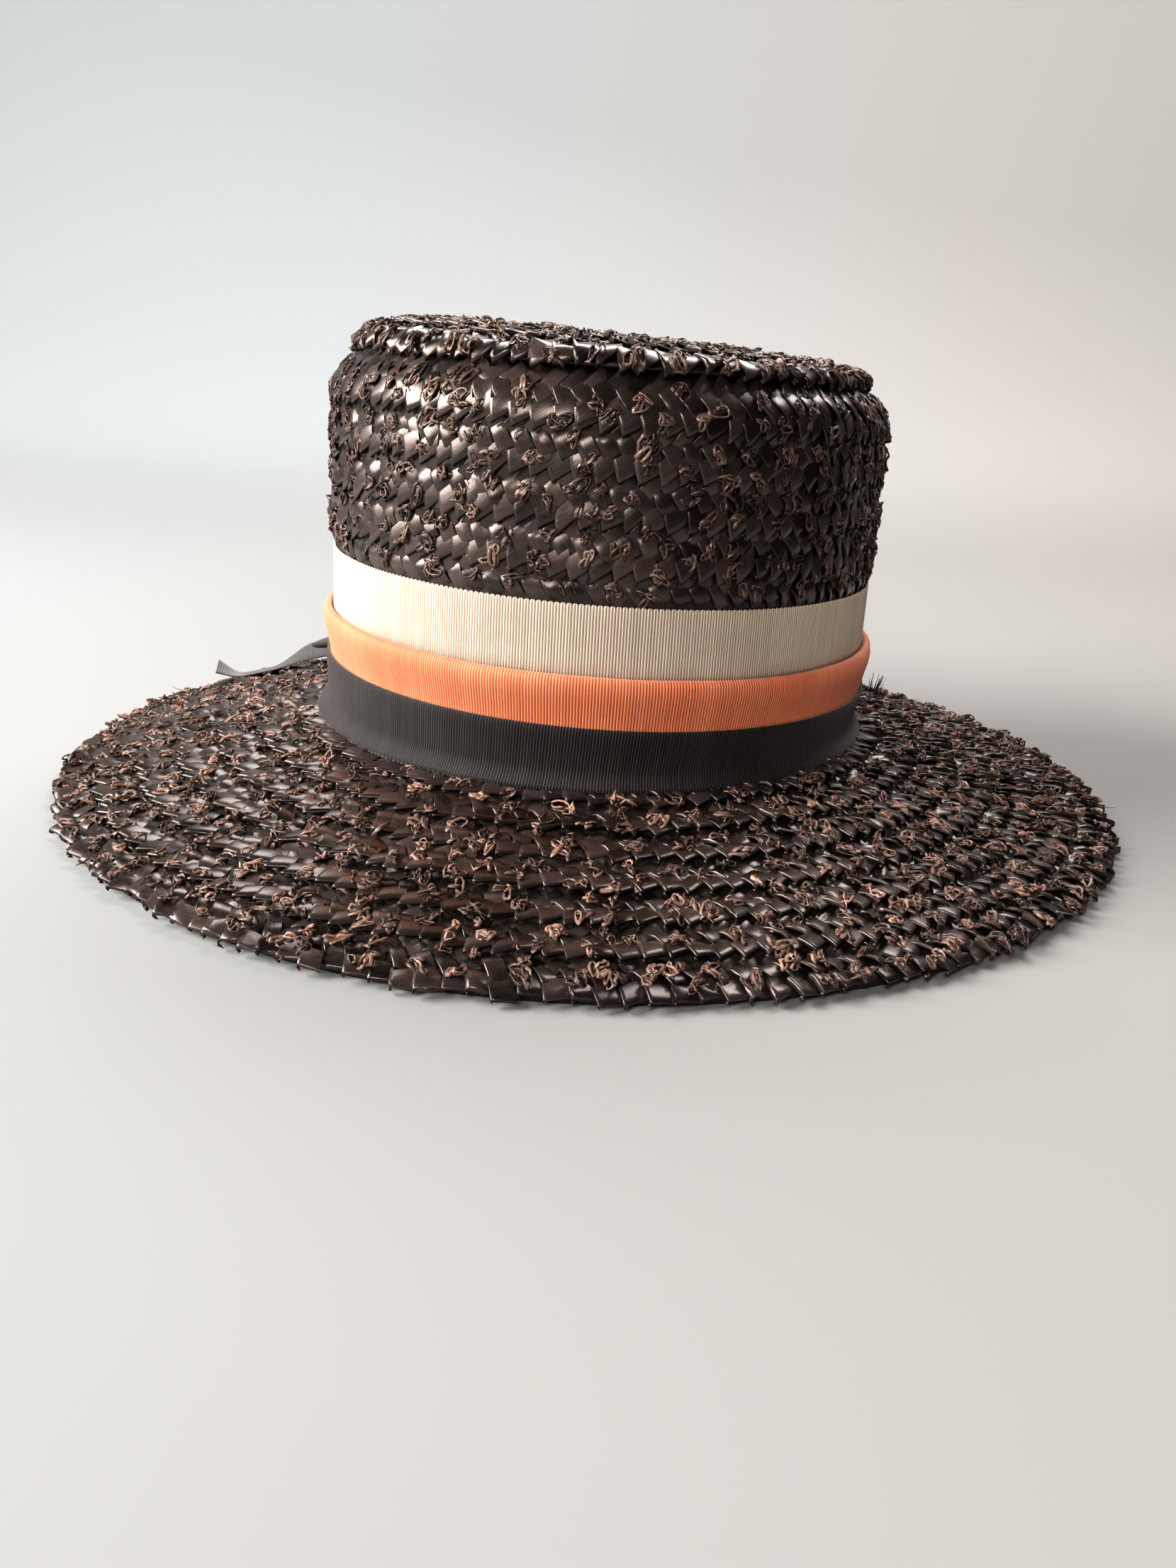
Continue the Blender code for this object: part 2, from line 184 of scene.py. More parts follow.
def straw_finish(name, dark, light, roughness, bump_mm, shade_from=None, gloss=0.7):
    """Waxed straw: its colour goes by the strip's own shade and the streaks along it.

    Roughness follows the streaks, and the bump is the streaks plus a share of the crumple.
    """
    finish = bpy.data.materials.new(name)
    finish.use_nodes = True
    tree = finish.node_tree
    place = add_node(tree, "TexCoord", {}).outputs
    places = {"Strip": place["UV"], "Place": place["Object"]}
    grain = add_node(tree, "Group", places, node_tree=straw_grain).outputs
    tone = grain["Streaks"]
    if shade_from:
        own = add_node(tree, "Attribute", {}, attribute_name=shade_from).outputs["Fac"]
        lowered = times_plus(tree, own, 0.9, -0.25)
        tone = times_plus(tree, tone, 0.6, lowered, clamp=True)
    rough = {"Value": grain["Streaks"], "To Min": roughness * 0.55, "To Max": roughness * 1.5}
    height = times_plus(tree, grain["Crumple"], 0.4, grain["Streaks"])
    bump = {"Distance": bump_mm * MM, "Strength": 1.0, "Height": height}
    join_or_set(tree, tree.nodes["Principled BSDF"], {
        "Base Color": mix_colours(tree, tone, dark, light),
        "Roughness": add_node(tree, "MapRange", rough).outputs["Result"],
        "Normal": add_node(tree, "Bump", bump).outputs["Normal"],
        "Specular IOR Level": gloss,
        "Specular Tint": (1.0, 0.83, 0.76, 1.0),
        "Coat Weight": 0.07,
        "Coat Roughness": 0.15,
    })
    return finish


# The shell is coloured near black, darker than the plait's strips. This is partly the braid's own dark body
# and partly painted shade for the gaps between the patches and under the teeth, where only the shell shows.
straw_body_and_gap_shade = straw_finish("straw_body_and_gap_shade", (0.0020, 0.0014, 0.0012), (0.0060, 0.0042, 0.0036), 0.5, 0.3)


def straw_shell(name, section, at, node):
    """Carries a closed section of (across, lift) round the hat, listed so that it faces out."""
    angle = np.linspace(0.0, 2.0 * np.pi, STATIONS_ROUND, endpoint=False)
    section = np.array(section)
    points = at(angle[None, :], section[:, 0:1], section[:, 1:2])
    made = piece_from(name, points, tube_faces(len(section), STATIONS_ROUND, True), straw_body_and_gap_shade)
    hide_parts(node)
    return made


def shingle(start, middle, stop, edge_lift=SHINGLE_LIFT):
    """One round of a section: proud at its free edge, and level with the wall at its far side."""
    return [(start + SHINGLE_START, edge_lift), (middle, SHINGLE_BELLY), (stop - SHINGLE_STOP, 0.0)]


def brim_section():
    """Shingled rounds from the edge in, then back out along the plain underside."""
    section = [(0.0, 0.0)]
    for k in range(BRIM_ROUNDS):
        start = k * ROUND_PITCH
        stop = min(start + ROUND_PITCH, BRIM_REACH)
        section += shingle(start, start + ROUND_PITCH * 0.5, stop, SHINGLE_LIFT if k else HEM_LIFT)
    seat = BRIM_REACH + STRAW_WALL
    under = (seat, BRIM_REACH / 2.0, BRIM_EDGE_FLAT, BRIM_EDGE_IN)
    return section + [(seat, 0.0)] + [(across, -STRAW_WALL) for across in under]


brim_shell = straw_shell("brim_shell", brim_section(), brim_at, "brim")

# The crown side's straw shell.
# The same braid goes on up the crown in upright rounds, each over the one below, and is drawn
# in a little at the shoulder.

CROWN_SIDE_HEIGHT = 107.4
CROWN_SEAT = 0.3
SIDE_ROUNDS = 5
SIDE_TOP = FOOT_HEIGHT + CROWN_SEAT + CROWN_SIDE_HEIGHT
SHOULDER_INSET = 8.0
SHOULDER_HEIGHT = 15.0
SIDE_STAND = 0.75
BAND_SHIFT = 1.2
TOP_SHIFT = 1.1
SIDE_LEAN = 2.4
CREAM_TOP = FOOT_HEIGHT + 49.8
CORAL_TOP = FOOT_HEIGHT + 31.4
CHARCOAL_TOP = FOOT_HEIGHT + 17.6
BAND_PRESS = 4.0
BAND_PRESS_BELOW = 1.0


def leaned(x, y, height, extra=0.0):
    """Over its foot the crown shifts to the right, and its height falls that way."""
    share = np.clip((height - FOOT_HEIGHT) / (CHARCOAL_TOP - FOOT_HEIGHT), 0.0, 1.0)
    rise = np.maximum(height - FOOT_HEIGHT, 0.0) / CROWN_SIDE_HEIGHT
    fall = (SIDE_LEAN * share + extra) * x / CROWN_HALF_WIDTH
    across = x + BAND_SHIFT * share + TOP_SHIFT * rise
    return np.stack(np.broadcast_arrays(across, y, height - fall), axis=-1)


def side_reach(height):
    """How far the crown's outside is drawn in towards its shoulder, as a cubic curve."""
    share = np.clip((height - (SIDE_TOP - SHOULDER_HEIGHT)) / SHOULDER_HEIGHT, 0.0, 1.0)
    return -SHOULDER_INSET * share**3


def side_at(angle, height, lift):
    """A point of the crown's side: lift is straight out, but near the band it is pressed flat."""
    free = SIDE_STAND * np.clip((height - CREAM_TOP + BAND_PRESS_BELOW) / BAND_PRESS, 0.0, 1.0)
    x, y = oval(angle, side_reach(height) + np.minimum(lift, 0.0) + np.maximum(lift, 0.0) * free)
    return leaned(x, y, height)


def side_section():
    """Up the outside in shingled rounds, and down the plain inside."""
    foot = FOOT_HEIGHT + CROWN_SEAT
    lowest = SIDE_TOP - SIDE_ROUNDS * ROUND_PITCH
    section = [(foot, 0.0), (CHARCOAL_TOP, 0.0), (lowest, 0.0)]
    for k in range(SIDE_ROUNDS):
        start = lowest + k * ROUND_PITCH
        section += shingle(start, start + ROUND_PITCH * 0.5, start + ROUND_PITCH)
    shoulder = (SIDE_TOP - SHOULDER_HEIGHT / 2.0, SIDE_TOP - SHOULDER_HEIGHT)
    return section + [(height, -STRAW_WALL) for height in (SIDE_TOP, *shoulder, CHARCOAL_TOP, foot)]


straw_shell("crown_side_shell", side_section(), side_at, "crown_side")

# The crown tip's straw shell.
# The flat top is sewn from its middle outwards, and its last round turns down over the side.

LIP_OVERHANG = 0.6
LIP_UNDERSIDE = SIDE_TOP + CROWN_SEAT
LIP_TOP = LIP_UNDERSIDE + STRAW_WALL
LIP_DROP = STRAW_WALL * 0.6
TIP_DOME = 5.2
TIP_LEAN = 3.2
TIP_HALF_WIDTH = CROWN_HALF_WIDTH + LIP_OVERHANG - SHOULDER_INSET
TIP_HALF_DEPTH = CROWN_HALF_DEPTH + LIP_OVERHANG - SHOULDER_INSET
TIP_ROUNDS = 6
LIP_PROFILE = [(0.0, 0.0), (0.8, 0.3), (2.0, 0.3), (4.0, 0.3), (7.0, 0.1)]
LIP_INSIDE = [(3.0, -STRAW_WALL * 0.9), (0.6, -LIP_DROP)]
TIP_INSIDE = (60.0, 30.0, 12.0, 6.0)
TIP_FLATNESS = 5
TIP_EYE = 0.2
TIP_HOLE = 0.05
DOME_STATIONS = 2001
SLOPE_STEP = 0.4
SHORTEST_RUN = 0.001


def tip_dome(share):
    """Height over the lip at a share of the way out: nearly flat, then round down to the lip."""
    return TIP_DOME * np.sqrt(np.maximum(1.0 - share**TIP_FLATNESS, 0.0))


TIP_SHARES = 1.0 - np.linspace(0.0, 1.0, DOME_STATIONS) ** 2
TIP_RUNS = np.concatenate(
    ([0.0], np.cumsum(np.hypot(np.diff(TIP_SHARES) * TIP_HALF_WIDTH, np.diff(tip_dome(TIP_SHARES)))))
)


def tip_share(across):
    """The share of the way out that lies a given length in from the lip, over the dome."""
    return np.interp(across, TIP_RUNS, TIP_SHARES)


def tip_at(angle, across, lift):
    """A point of the tip: across is the length in from the lip, and lift is along its normal.

    The normal comes from the rise and the run of the dome a step to either side.
    """
    share = tip_share(across)
    near = tip_share(np.maximum(across - SLOPE_STEP, 0.0))
    far = tip_share(np.maximum(across, SLOPE_STEP) + SLOPE_STEP)
    run = np.maximum((near - far) * TIP_HALF_WIDTH, SHORTEST_RUN)
    rise = tip_dome(far) - tip_dome(near)
    size = np.hypot(run, rise)
    out, up = lift * rise / size, lift * run / size
    below = np.minimum(across, 0.0)
    x = (share * TIP_HALF_WIDTH + out) * np.cos(angle)
    y = (share * TIP_HALF_DEPTH + out) * np.sin(angle)
    height = LIP_TOP - LIP_DROP + tip_dome(share) + up + below
    return leaned(x, y, height, TIP_LEAN * tip_dome(share) / TIP_DOME)


def tip_edges():
    """Lengths in from the lip at which the tip's rounds have their free edges."""
    shares = 1.0 - ROUND_PITCH / CROWN_HALF_WIDTH * np.arange(TIP_ROUNDS)
    return np.interp(-shares, -TIP_SHARES, TIP_RUNS)


def tip_section():
    """Shingled rounds from the lip in to the middle, then back out under the wall."""
    edges = list(tip_edges()) + [TIP_RUNS[-1] - TIP_EYE]
    section = LIP_PROFILE + [(edges[1] - SHINGLE_STOP, 0.0)]
    for start, stop in zip(edges[1:-1], edges[2:]):
        section += shingle(start, (start + stop) / 2.0, stop)
    middle = TIP_RUNS[-1] - TIP_HOLE
    under = [(inward, -STRAW_WALL) for inward in (middle, *TIP_INSIDE)]
    return section + [(middle, 0.0)] + under + LIP_INSIDE


straw_shell("crown_tip_shell", tip_section(), tip_at, "crown_tip")

# The plait on the brim, the side and the tip.
# Glossy strips of straw about 5 mm wide cross each other, over one and under one. Each place
# where a strip comes out on top is an arched patch, its left edge standing up over the next.

PLAIT_SPACING = 5.6
LEFT_LINE = {"up": 6.5, "shift": 0.0, "heading": 2.13, "long": 3.5, "wide": 2.32, "arch": 1.05}
RIGHT_LINE = {"up": 10.1, "shift": 0.5, "heading": 0.75, "long": 3.2, "wide": 2.15, "arch": 0.55}
PATCH_ALONG = np.array([-1.0, -0.84, -0.35, 0.35, 0.84, 1.0])
PATCH_ASIDE = np.array([-1.0, -0.5, 0.2, 0.86, 1.04, 1.0])
PATCH_ASIDE_LIFTS = np.array([-0.1, 0.0, 0.04, 0.05, -0.1, -0.75])
PATCH_TILT = 0.42
PATCH_SCATTER = {"heading": 0.08, "tilt": 0.3, "pitch": 0.34}
PATCH_RANGES = {"long": (0.92, 1.1), "wide": (0.84, 1.0), "arch": (0.7, 1.35)}
CRUMPLED_SHARE = 0.36
CRUMPLE_SIZE = 0.17
CRUMPLE_RANGE = (0.8, 2.0)
SMOOTH_CRUMPLE = 0.1
ARC_STATIONS = 1441
WAVES_ROUND = (3, 5, 8, 13, 21)
ROUND_OFFSET = 0.31
ROUND_DRIFT = 0.3
ROUND_SWAY = 0.35
STRIP_RANGE = 60.0


def arc_table(half_width, half_depth):
    """Angles round an oval, with the length run at each, summed in small steps."""
    turn = np.linspace(0.0, 2.0 * np.pi, ARC_STATIONS)
    speed = np.hypot(half_width * np.sin(turn), half_depth * np.cos(turn))
    length = np.concatenate(([0.0], np.cumsum((speed[1:] + speed[:-1]) / 2.0 * np.diff(turn))))
    return turn, length


def places_round(at, across, spacing, offset):
    """Angles evenly apart along the hat's own outline at that place, and the speed at each."""
    corner = at(np.array([0.0, np.pi / 2.0]), across, 0.0)
    half_width, half_depth = abs(corner[0, 0]), abs(corner[1, 1])
    turn, length = arc_table(half_width, half_depth)
    count = max(int(round(length[-1] / spacing)), 3)
    angle = np.interp((np.arange(count) + offset) % count / count * length[-1], length, turn)
    speed = np.hypot(half_width * np.sin(angle), half_depth * np.cos(angle))
    return angle, speed


def grid_faces(rows, columns):
    """Faces of one patch, a grid of rows by columns of points."""
    low = np.arange(rows - 1)[:, None] * columns + np.arange(columns - 1)[None, :]
    return np.stack((low, low + columns, low + columns + 1, low + 1), axis=-1).reshape(-1, 4)


def round_lift(share):
    """A round rests on the one it laps: highest at its free edge, down to nothing at its far side."""
    return ROUND_STEP * (1.0 - share)


def waver(angle, seed, size):
    """Slow unevenness round the hat: a few whole waves with random phases."""
    draw = np.random.default_rng(seed)
    total = np.zeros_like(angle)
    for waves in WAVES_ROUND:
        total = total + np.sin(waves * angle + draw.uniform(0.0, 2.0 * np.pi)) / waves**0.5
    return size * total


def spread(values):
    """One value a patch, ready to go with the patch's own rows and columns."""
    return values[:, None, None]


def drift_and_sway(angle, seed, number):
    """A round's slow rise and fall, and its slow wander in and out."""
    drift = waver(angle, seed * 100 + number, ROUND_DRIFT)
    sway = waver(angle, seed * 200 + number, ROUND_SWAY)
    return spread(drift), spread(sway)


def strip_pairs(along, aside):
    """Strip coordinates, one pair a point."""
    return np.stack(np.broadcast_arrays(along, aside), axis=-1).reshape(-1, 2)


def gathered(parts):
    """All parts' points as one array, and so on for their strip coordinates and shades."""
    return [np.concatenate(kind) for kind in zip(*parts)]


def plait_patches(at, edges, widths, seed):
    """Points, strip coordinates and shades of every patch.

    In a patch's own frame, p runs along the strip and q across it to its left. Its height is a
    flat-topped arch in p, with a tilt, a turned left edge, and a crumple of random lifts on some.
    """
    draw = np.random.default_rng(seed)
    p = PATCH_ALONG[None, :, None]
    q = PATCH_ASIDE[None, None, :]
    parts = []
    for number, (edge, width) in enumerate(zip(edges, widths)):
        size = width / ROUND_PITCH
        for line in (RIGHT_LINE, LEFT_LINE):
            across = edge + line["up"] * size
            offset = line["shift"] + ROUND_OFFSET * number
            angle, speed = places_round(at, across, PLAIT_SPACING, offset)
            count = len(angle)
            turn = spread(line["heading"] + draw.normal(0.0, PATCH_SCATTER["heading"], count))
            along = p * spread(line["long"] * size * draw.uniform(*PATCH_RANGES["long"], count))
            aside = q * spread(line["wide"] * draw.uniform(*PATCH_RANGES["wide"], count))
            arch = spread(line["arch"] * draw.uniform(*PATCH_RANGES["arch"], count))
            height = arch * (1.0 - np.abs(p) ** 4)
            tilt = spread(draw.normal(PATCH_TILT, PATCH_SCATTER["tilt"], count))
            pitch = spread(draw.normal(0.0, PATCH_SCATTER["pitch"], count))
            height = height + tilt * q + pitch * p + PATCH_ASIDE_LIFTS[None, None, :]
            crumpled = draw.uniform(0.0, 1.0, count) < CRUMPLED_SHARE
            amount = np.where(crumpled, draw.uniform(*CRUMPLE_RANGE, count), SMOOTH_CRUMPLE)
            height = height + spread(CRUMPLE_SIZE * amount) * draw.normal(0.0, 1.0, height.shape)
            run = along * np.cos(turn) - aside * np.sin(turn)
            rise = along * np.sin(turn) + aside * np.cos(turn)
            drift, sway = drift_and_sway(angle, seed, number)
            share = np.clip((across + rise - edge) / width, 0.0, 1.0)
            lift = height + round_lift(share) + drift
            points = at(spread(angle) + run / spread(speed), across + rise + sway, lift)
            place = spread(draw.uniform(0.0, STRIP_RANGE, count))
            shade = np.repeat(draw.uniform(0.0, 1.0, count), p.size * q.size)
            parts.append((points.reshape(-1, 3), strip_pairs(along + place, aside + place), shade))
    return gathered(parts)


def straw_piece(name, surface, one, finish):
    """Many like shapes as one piece, from all their points and the faces of one of them.

    It has a UV map in millimetres along and across the strip, and each shape's own shade.
    """
    points, strips, shades = surface
    size = one.max() + 1
    starts = np.arange(len(points) // size)[:, None, None] * size
    made = piece_from(name, points, one[None, :, :] + starts, finish)
    mesh = made.data
    corner_points = np.empty(len(mesh.loops), dtype=np.int32)
    mesh.loops.foreach_get("vertex_index", corner_points)
    mesh.uv_layers.new(name="strip").data.foreach_set("uv", strips[corner_points].ravel())
    mesh.attributes.new("shade", "FLOAT", "POINT").data.foreach_set("value", shades)
    return made


PLAIT_COLOURS = [(0.0045, 0.0032, 0.0028), (0.052, 0.0380, 0.0345)]
plait_straw = straw_finish("plait_straw", *PLAIT_COLOURS, roughness=0.28, bump_mm=0.03, shade_from="shade")


def plait(name, at, edges, widths, seed):
    """The plait of one part of the hat, as one piece."""
    one = grid_faces(len(PATCH_ALONG), len(PATCH_ASIDE))
    return straw_piece(name, plait_patches(at, edges, widths, seed), one, plait_straw)


BRIM_ROUND_EDGES = ROUND_PITCH * np.arange(BRIM_ROUNDS)
BRIM_ROUND_WIDTHS = np.full(BRIM_ROUNDS, ROUND_PITCH)
BRIM_ROUND_WIDTHS[-1] = BRIM_REACH - (BRIM_ROUNDS - 1) * ROUND_PITCH
SIDE_ROUND_EDGES = SIDE_TOP - ROUND_PITCH * np.arange(SIDE_ROUNDS, 0, -1)
SIDE_ROUND_WIDTHS = np.full(SIDE_ROUNDS, ROUND_PITCH)
TIP_ROUND_EDGES = tip_edges()
TIP_ROUND_WIDTHS = np.diff(np.append(TIP_ROUND_EDGES, TIP_RUNS[-1]))

plait("brim_plait", brim_at, BRIM_ROUND_EDGES, BRIM_ROUND_WIDTHS, 11)
plait("crown_side_plait", side_at, SIDE_ROUND_EDGES, SIDE_ROUND_WIDTHS, 12)
plait("crown_tip_plait", tip_at, TIP_ROUND_EDGES, TIP_ROUND_WIDTHS, 13)

# The teeth along each round's free edge.
# There the strips fold over and go back under the braid, so the edge is a row of slanted flaps.
# Each laps over its right-hand neighbour's end, and its left edge is a bright turned rim.

TOOTH_RUNS = np.array([-2.25, -2.75, -2.5, -1.8, 1.3, 3.0])
TOOTH_RUN_LIFTS = np.array([0.3, 1.0, 1.45, 1.3, 0.7, 0.1])
TOOTH_REACHES = np.array([4.9, 3.2, 1.0, -0.5, -0.95, 0.2])
TOOTH_REACH_LIFTS = np.array([-0.55, 0.1, 0.4, 0.45, 0.0, -0.9])
TOOTH_PLACE = {"in": 2.0, "shift": 0.25}
TOOTH_SLANT = 0.62
TOOTH_LEAN = 0.24
TOOTH_RANGES = {"wide": (0.86, 1.08), "rise": (0.5, 1.5)}
TOOTH_SCATTER = {"push": 0.35, "slant": 0.12, "lean": 0.08}
TOOTH_CRUMPLE = 0.24
SMOOTH_TOOTH_CRUMPLE = 0.05
FREE_EDGE_RAGGEDNESS = 1.9
HEM_SLANT = 0.3
HEM_HANG = 1.1
HEM_HANG_REACH = 4.7
TOOTH_GRAIN = (0.8, 0.6)
LIP_TOOTH_SIZE = 1.2
LIP_INSET = 0.8


def teeth_points(at, edges, seed):
    """Each tooth is a grid: across it a slat with a turned rim, and along it a fold under.

    The hem's and the lip's teeth are more uneven. The hem's hang a little with a flatter slant,
    and the lip's are bigger and set in over the side's top.
    """
    draw = np.random.default_rng(seed)
    parts = []
    for number, edge in enumerate(edges):
        offset = TOOTH_PLACE["shift"] + ROUND_OFFSET * number
        angle, speed = places_round(at, edge + TOOTH_PLACE["in"], PLAIT_SPACING, offset)
        count = len(angle)
        outermost = edge == 0.0
        lip = outermost and at is tip_at
        hem = outermost and not lip
        grown = LIP_TOOTH_SIZE if lip else 1.0
        ragged = FREE_EDGE_RAGGEDNESS if outermost else 1.0
        hang = HEM_HANG if hem else 0.0
        run = grown * TOOTH_RUNS[None, None, :] * spread(draw.uniform(*TOOTH_RANGES["wide"], count))
        rise = spread(draw.uniform(*TOOTH_RANGES["rise"], count))
        push = spread(draw.normal(0.0, TOOTH_SCATTER["push"] * ragged, count))
        steepness = HEM_SLANT if hem else TOOTH_SLANT
        slant = spread(draw.normal(steepness, TOOTH_SCATTER["slant"], count))
        down = grown * TOOTH_REACHES[None, :, None]
        reach = down + slant * run + push
        height = TOOTH_RUN_LIFTS[None, None, :] * rise + TOOTH_REACH_LIFTS[None, :, None]
        crumpled = draw.uniform(0.0, 1.0, count) < CRUMPLED_SHARE * ragged
        amount = np.where(crumpled, TOOTH_CRUMPLE, SMOOTH_TOOTH_CRUMPLE) * ragged
        height = height + spread(amount) * draw.normal(0.0, 1.0, height.shape)
        run = run - spread(draw.normal(TOOTH_LEAN, TOOTH_SCATTER["lean"], count)) * down
        drift, sway = drift_and_sway(angle, seed, number)
        sag = hang * (1.0 - TOOTH_REACHES[None, :, None] / HEM_HANG_REACH)
        lift = height + ROUND_STEP + drift - sag
        inset = LIP_INSET if lip else -hang
        points = at(spread(angle) + run / spread(speed), edge + reach + sway + inset, lift)
        place = spread(draw.uniform(0.0, STRIP_RANGE, count))
        along = TOOTH_GRAIN[0] * run + TOOTH_GRAIN[1] * reach + place
        aside = TOOTH_GRAIN[0] * reach - TOOTH_GRAIN[1] * run + place
        shade = np.repeat(draw.uniform(0.0, 1.0, count), height[0].size)
        parts.append((points.reshape(-1, 3), strip_pairs(along, aside), shade))
    return gathered(parts)


def teeth(name, at, edges, seed):
    """The teeth of one part of the hat, as one piece."""
    one = grid_faces(len(TOOTH_REACHES), len(TOOTH_RUNS))
    return straw_piece(name, teeth_points(at, edges, seed), one, plait_straw)


teeth("brim_teeth", brim_at, BRIM_ROUND_EDGES, 21)
teeth("crown_side_teeth", side_at, SIDE_ROUND_EDGES[1:], 22)
teeth("crown_tip_teeth", tip_at, TIP_ROUND_EDGES, 23)

# The raffia nubs.
# A crinkled copper brown raffia cord is worked into the braid, and comes up in small bunches
# of flattened loops that lie and stand every way. None comes up under the bow, whose place and
# sizes are therefore given here.

BOW_AZIMUTH = np.radians(134.0)
BOW_SEAT = 4.7
BOW_RIBBON_WIDTH = 16.0
BOW_STRIP = 0.7
LOOP_LENGTH = 38.0
LOOP_HEIGHT = 6.5
LOOP_LIFT = 7.0
LOOP_NECK = 10.0
KNOT_LENGTH = 12.0
KNOT_DEPTH = 14.0
KNOT_HEIGHT = 13.0

bow_foot = np.array([CROWN_HALF_WIDTH * np.cos(BOW_AZIMUTH), CROWN_HALF_DEPTH * np.sin(BOW_AZIMUTH)])
bow_out = np.array([np.cos(BOW_AZIMUTH) / CROWN_HALF_WIDTH, np.sin(BOW_AZIMUTH) / CROWN_HALF_DEPTH])
bow_out = bow_out / np.hypot(*bow_out)
bow_along = np.array([-bow_out[1], bow_out[0]])
TAIL_WIDTH = 20.0
TAIL_NECK = 8.0
TAIL_GAP = 0.3
SIDE_TAIL = {"length": 0.826 * BRIM_REACH, "heading": np.radians(191.0), "shift": KNOT_LENGTH / 4.0}
BACK_TAIL = {"length": 0.857 * BRIM_REACH, "heading": np.radians(82.0), "shift": -KNOT_LENGTH / 4.0}
FLARE_COVER = 6.5
LOOP_COVER = 1.0
TAIL_COVER = {"start": 4.0, "end": 1.0, "side": 0.5}


def tail_start(tail):
    """Where a tail comes out from under the knot, clear of it by its neck's corner, and its ways."""
    ahead = np.array([np.cos(tail["heading"]), np.sin(tail["heading"])])
    across = np.array([-ahead[1], ahead[0]])
    corner_room = abs(across @ bow_out) * TAIL_NECK / 2.0
    depth = BOW_SEAT + KNOT_DEPTH + TAIL_GAP + corner_room
    return bow_foot + bow_along * tail["shift"] + bow_out * depth, ahead, across


def under_ribbons(plan):
    """Whether places in plan lie under the bow's loops or tails, or the band's flared foot."""
    x, y = plan[..., 0], plan[..., 1]
    grown = (x / (CROWN_HALF_WIDTH + FLARE_COVER)) ** 2 + (y / (CROWN_HALF_DEPTH + FLARE_COVER)) ** 2
    covered = grown < 1.0
    middle = bow_foot + bow_out * (BOW_SEAT + BOW_RIBBON_WIDTH / 2.0)
    off = plan - middle
    beneath = np.abs(off @ bow_out) < BOW_RIBBON_WIDTH / 2.0 + LOOP_COVER
    covered |= (np.abs(off @ bow_along) < LOOP_LENGTH + KNOT_LENGTH / 2.0) & beneath
    for tail in (SIDE_TAIL, BACK_TAIL):
        start, ahead, across = tail_start(tail)
        along = (plan - start) @ ahead
        beneath = np.abs((plan - start) @ across) < TAIL_WIDTH / 2.0 + TAIL_COVER["side"]
        covered |= (along > -TAIL_COVER["start"]) & (along < tail["length"] + TAIL_COVER["end"]) & beneath
    return covered


NUB_SPACING = 11.5
NUB_LEVELS = (0.12, 0.6)
LIP_NUB_LEVELS = (0.14, 0.55)
NUB_OFFSET = 0.37
NUB_ABOVE_BAND = 2.5
NUB_LOOPS = 4
NUB_RINGS = 9
NUB_SIDES = 4
NUB_LONG = 1.5
NUB_SHORT = 0.78
NUB_CORD = 0.56
NUB_FLATNESS = 0.45
NUB_CURL = -0.35
NUB_WOBBLE = 0.13
NUB_LIFT = {"lowest": -0.3, "clear": 0.5}
NUB_HEADINGS = {"ways": (-0.9, 0.9), "odds": (0.35, 0.65)}
NUB_RANGES = {
    "bunch": (0.9, 1.45), "size": (0.7, 1.25), "long": (0.7, 1.3), "short": (0.6, 1.25),
    "roll": (0.1, 1.0), "stand": (1.0, 1.8), "cord": (0.65, 1.1), "crumple": (0.6, 1.35),
}
NUB_SCATTER = {
    "along": 2.6, "across": 1.4, "heading": 0.4, "yaw": 0.7, "pitch": 0.22, "place": 1.1,
    "curl": 0.35, "twist": 0.6,
}
NUB_TONE = {"bunch": 0.85, "power": 1.8, "loop": 0.25}
NUB_STRIP_STEPS = (1.2, 0.9)
BRIM_NUB_SIZE = 0.9
CROWN_NUB_PAINTED_SHADE = 0.42


def per_point(values):
    """One value a loop, ready to go with the loop's own rings and sides."""
    return values[..., None, None]


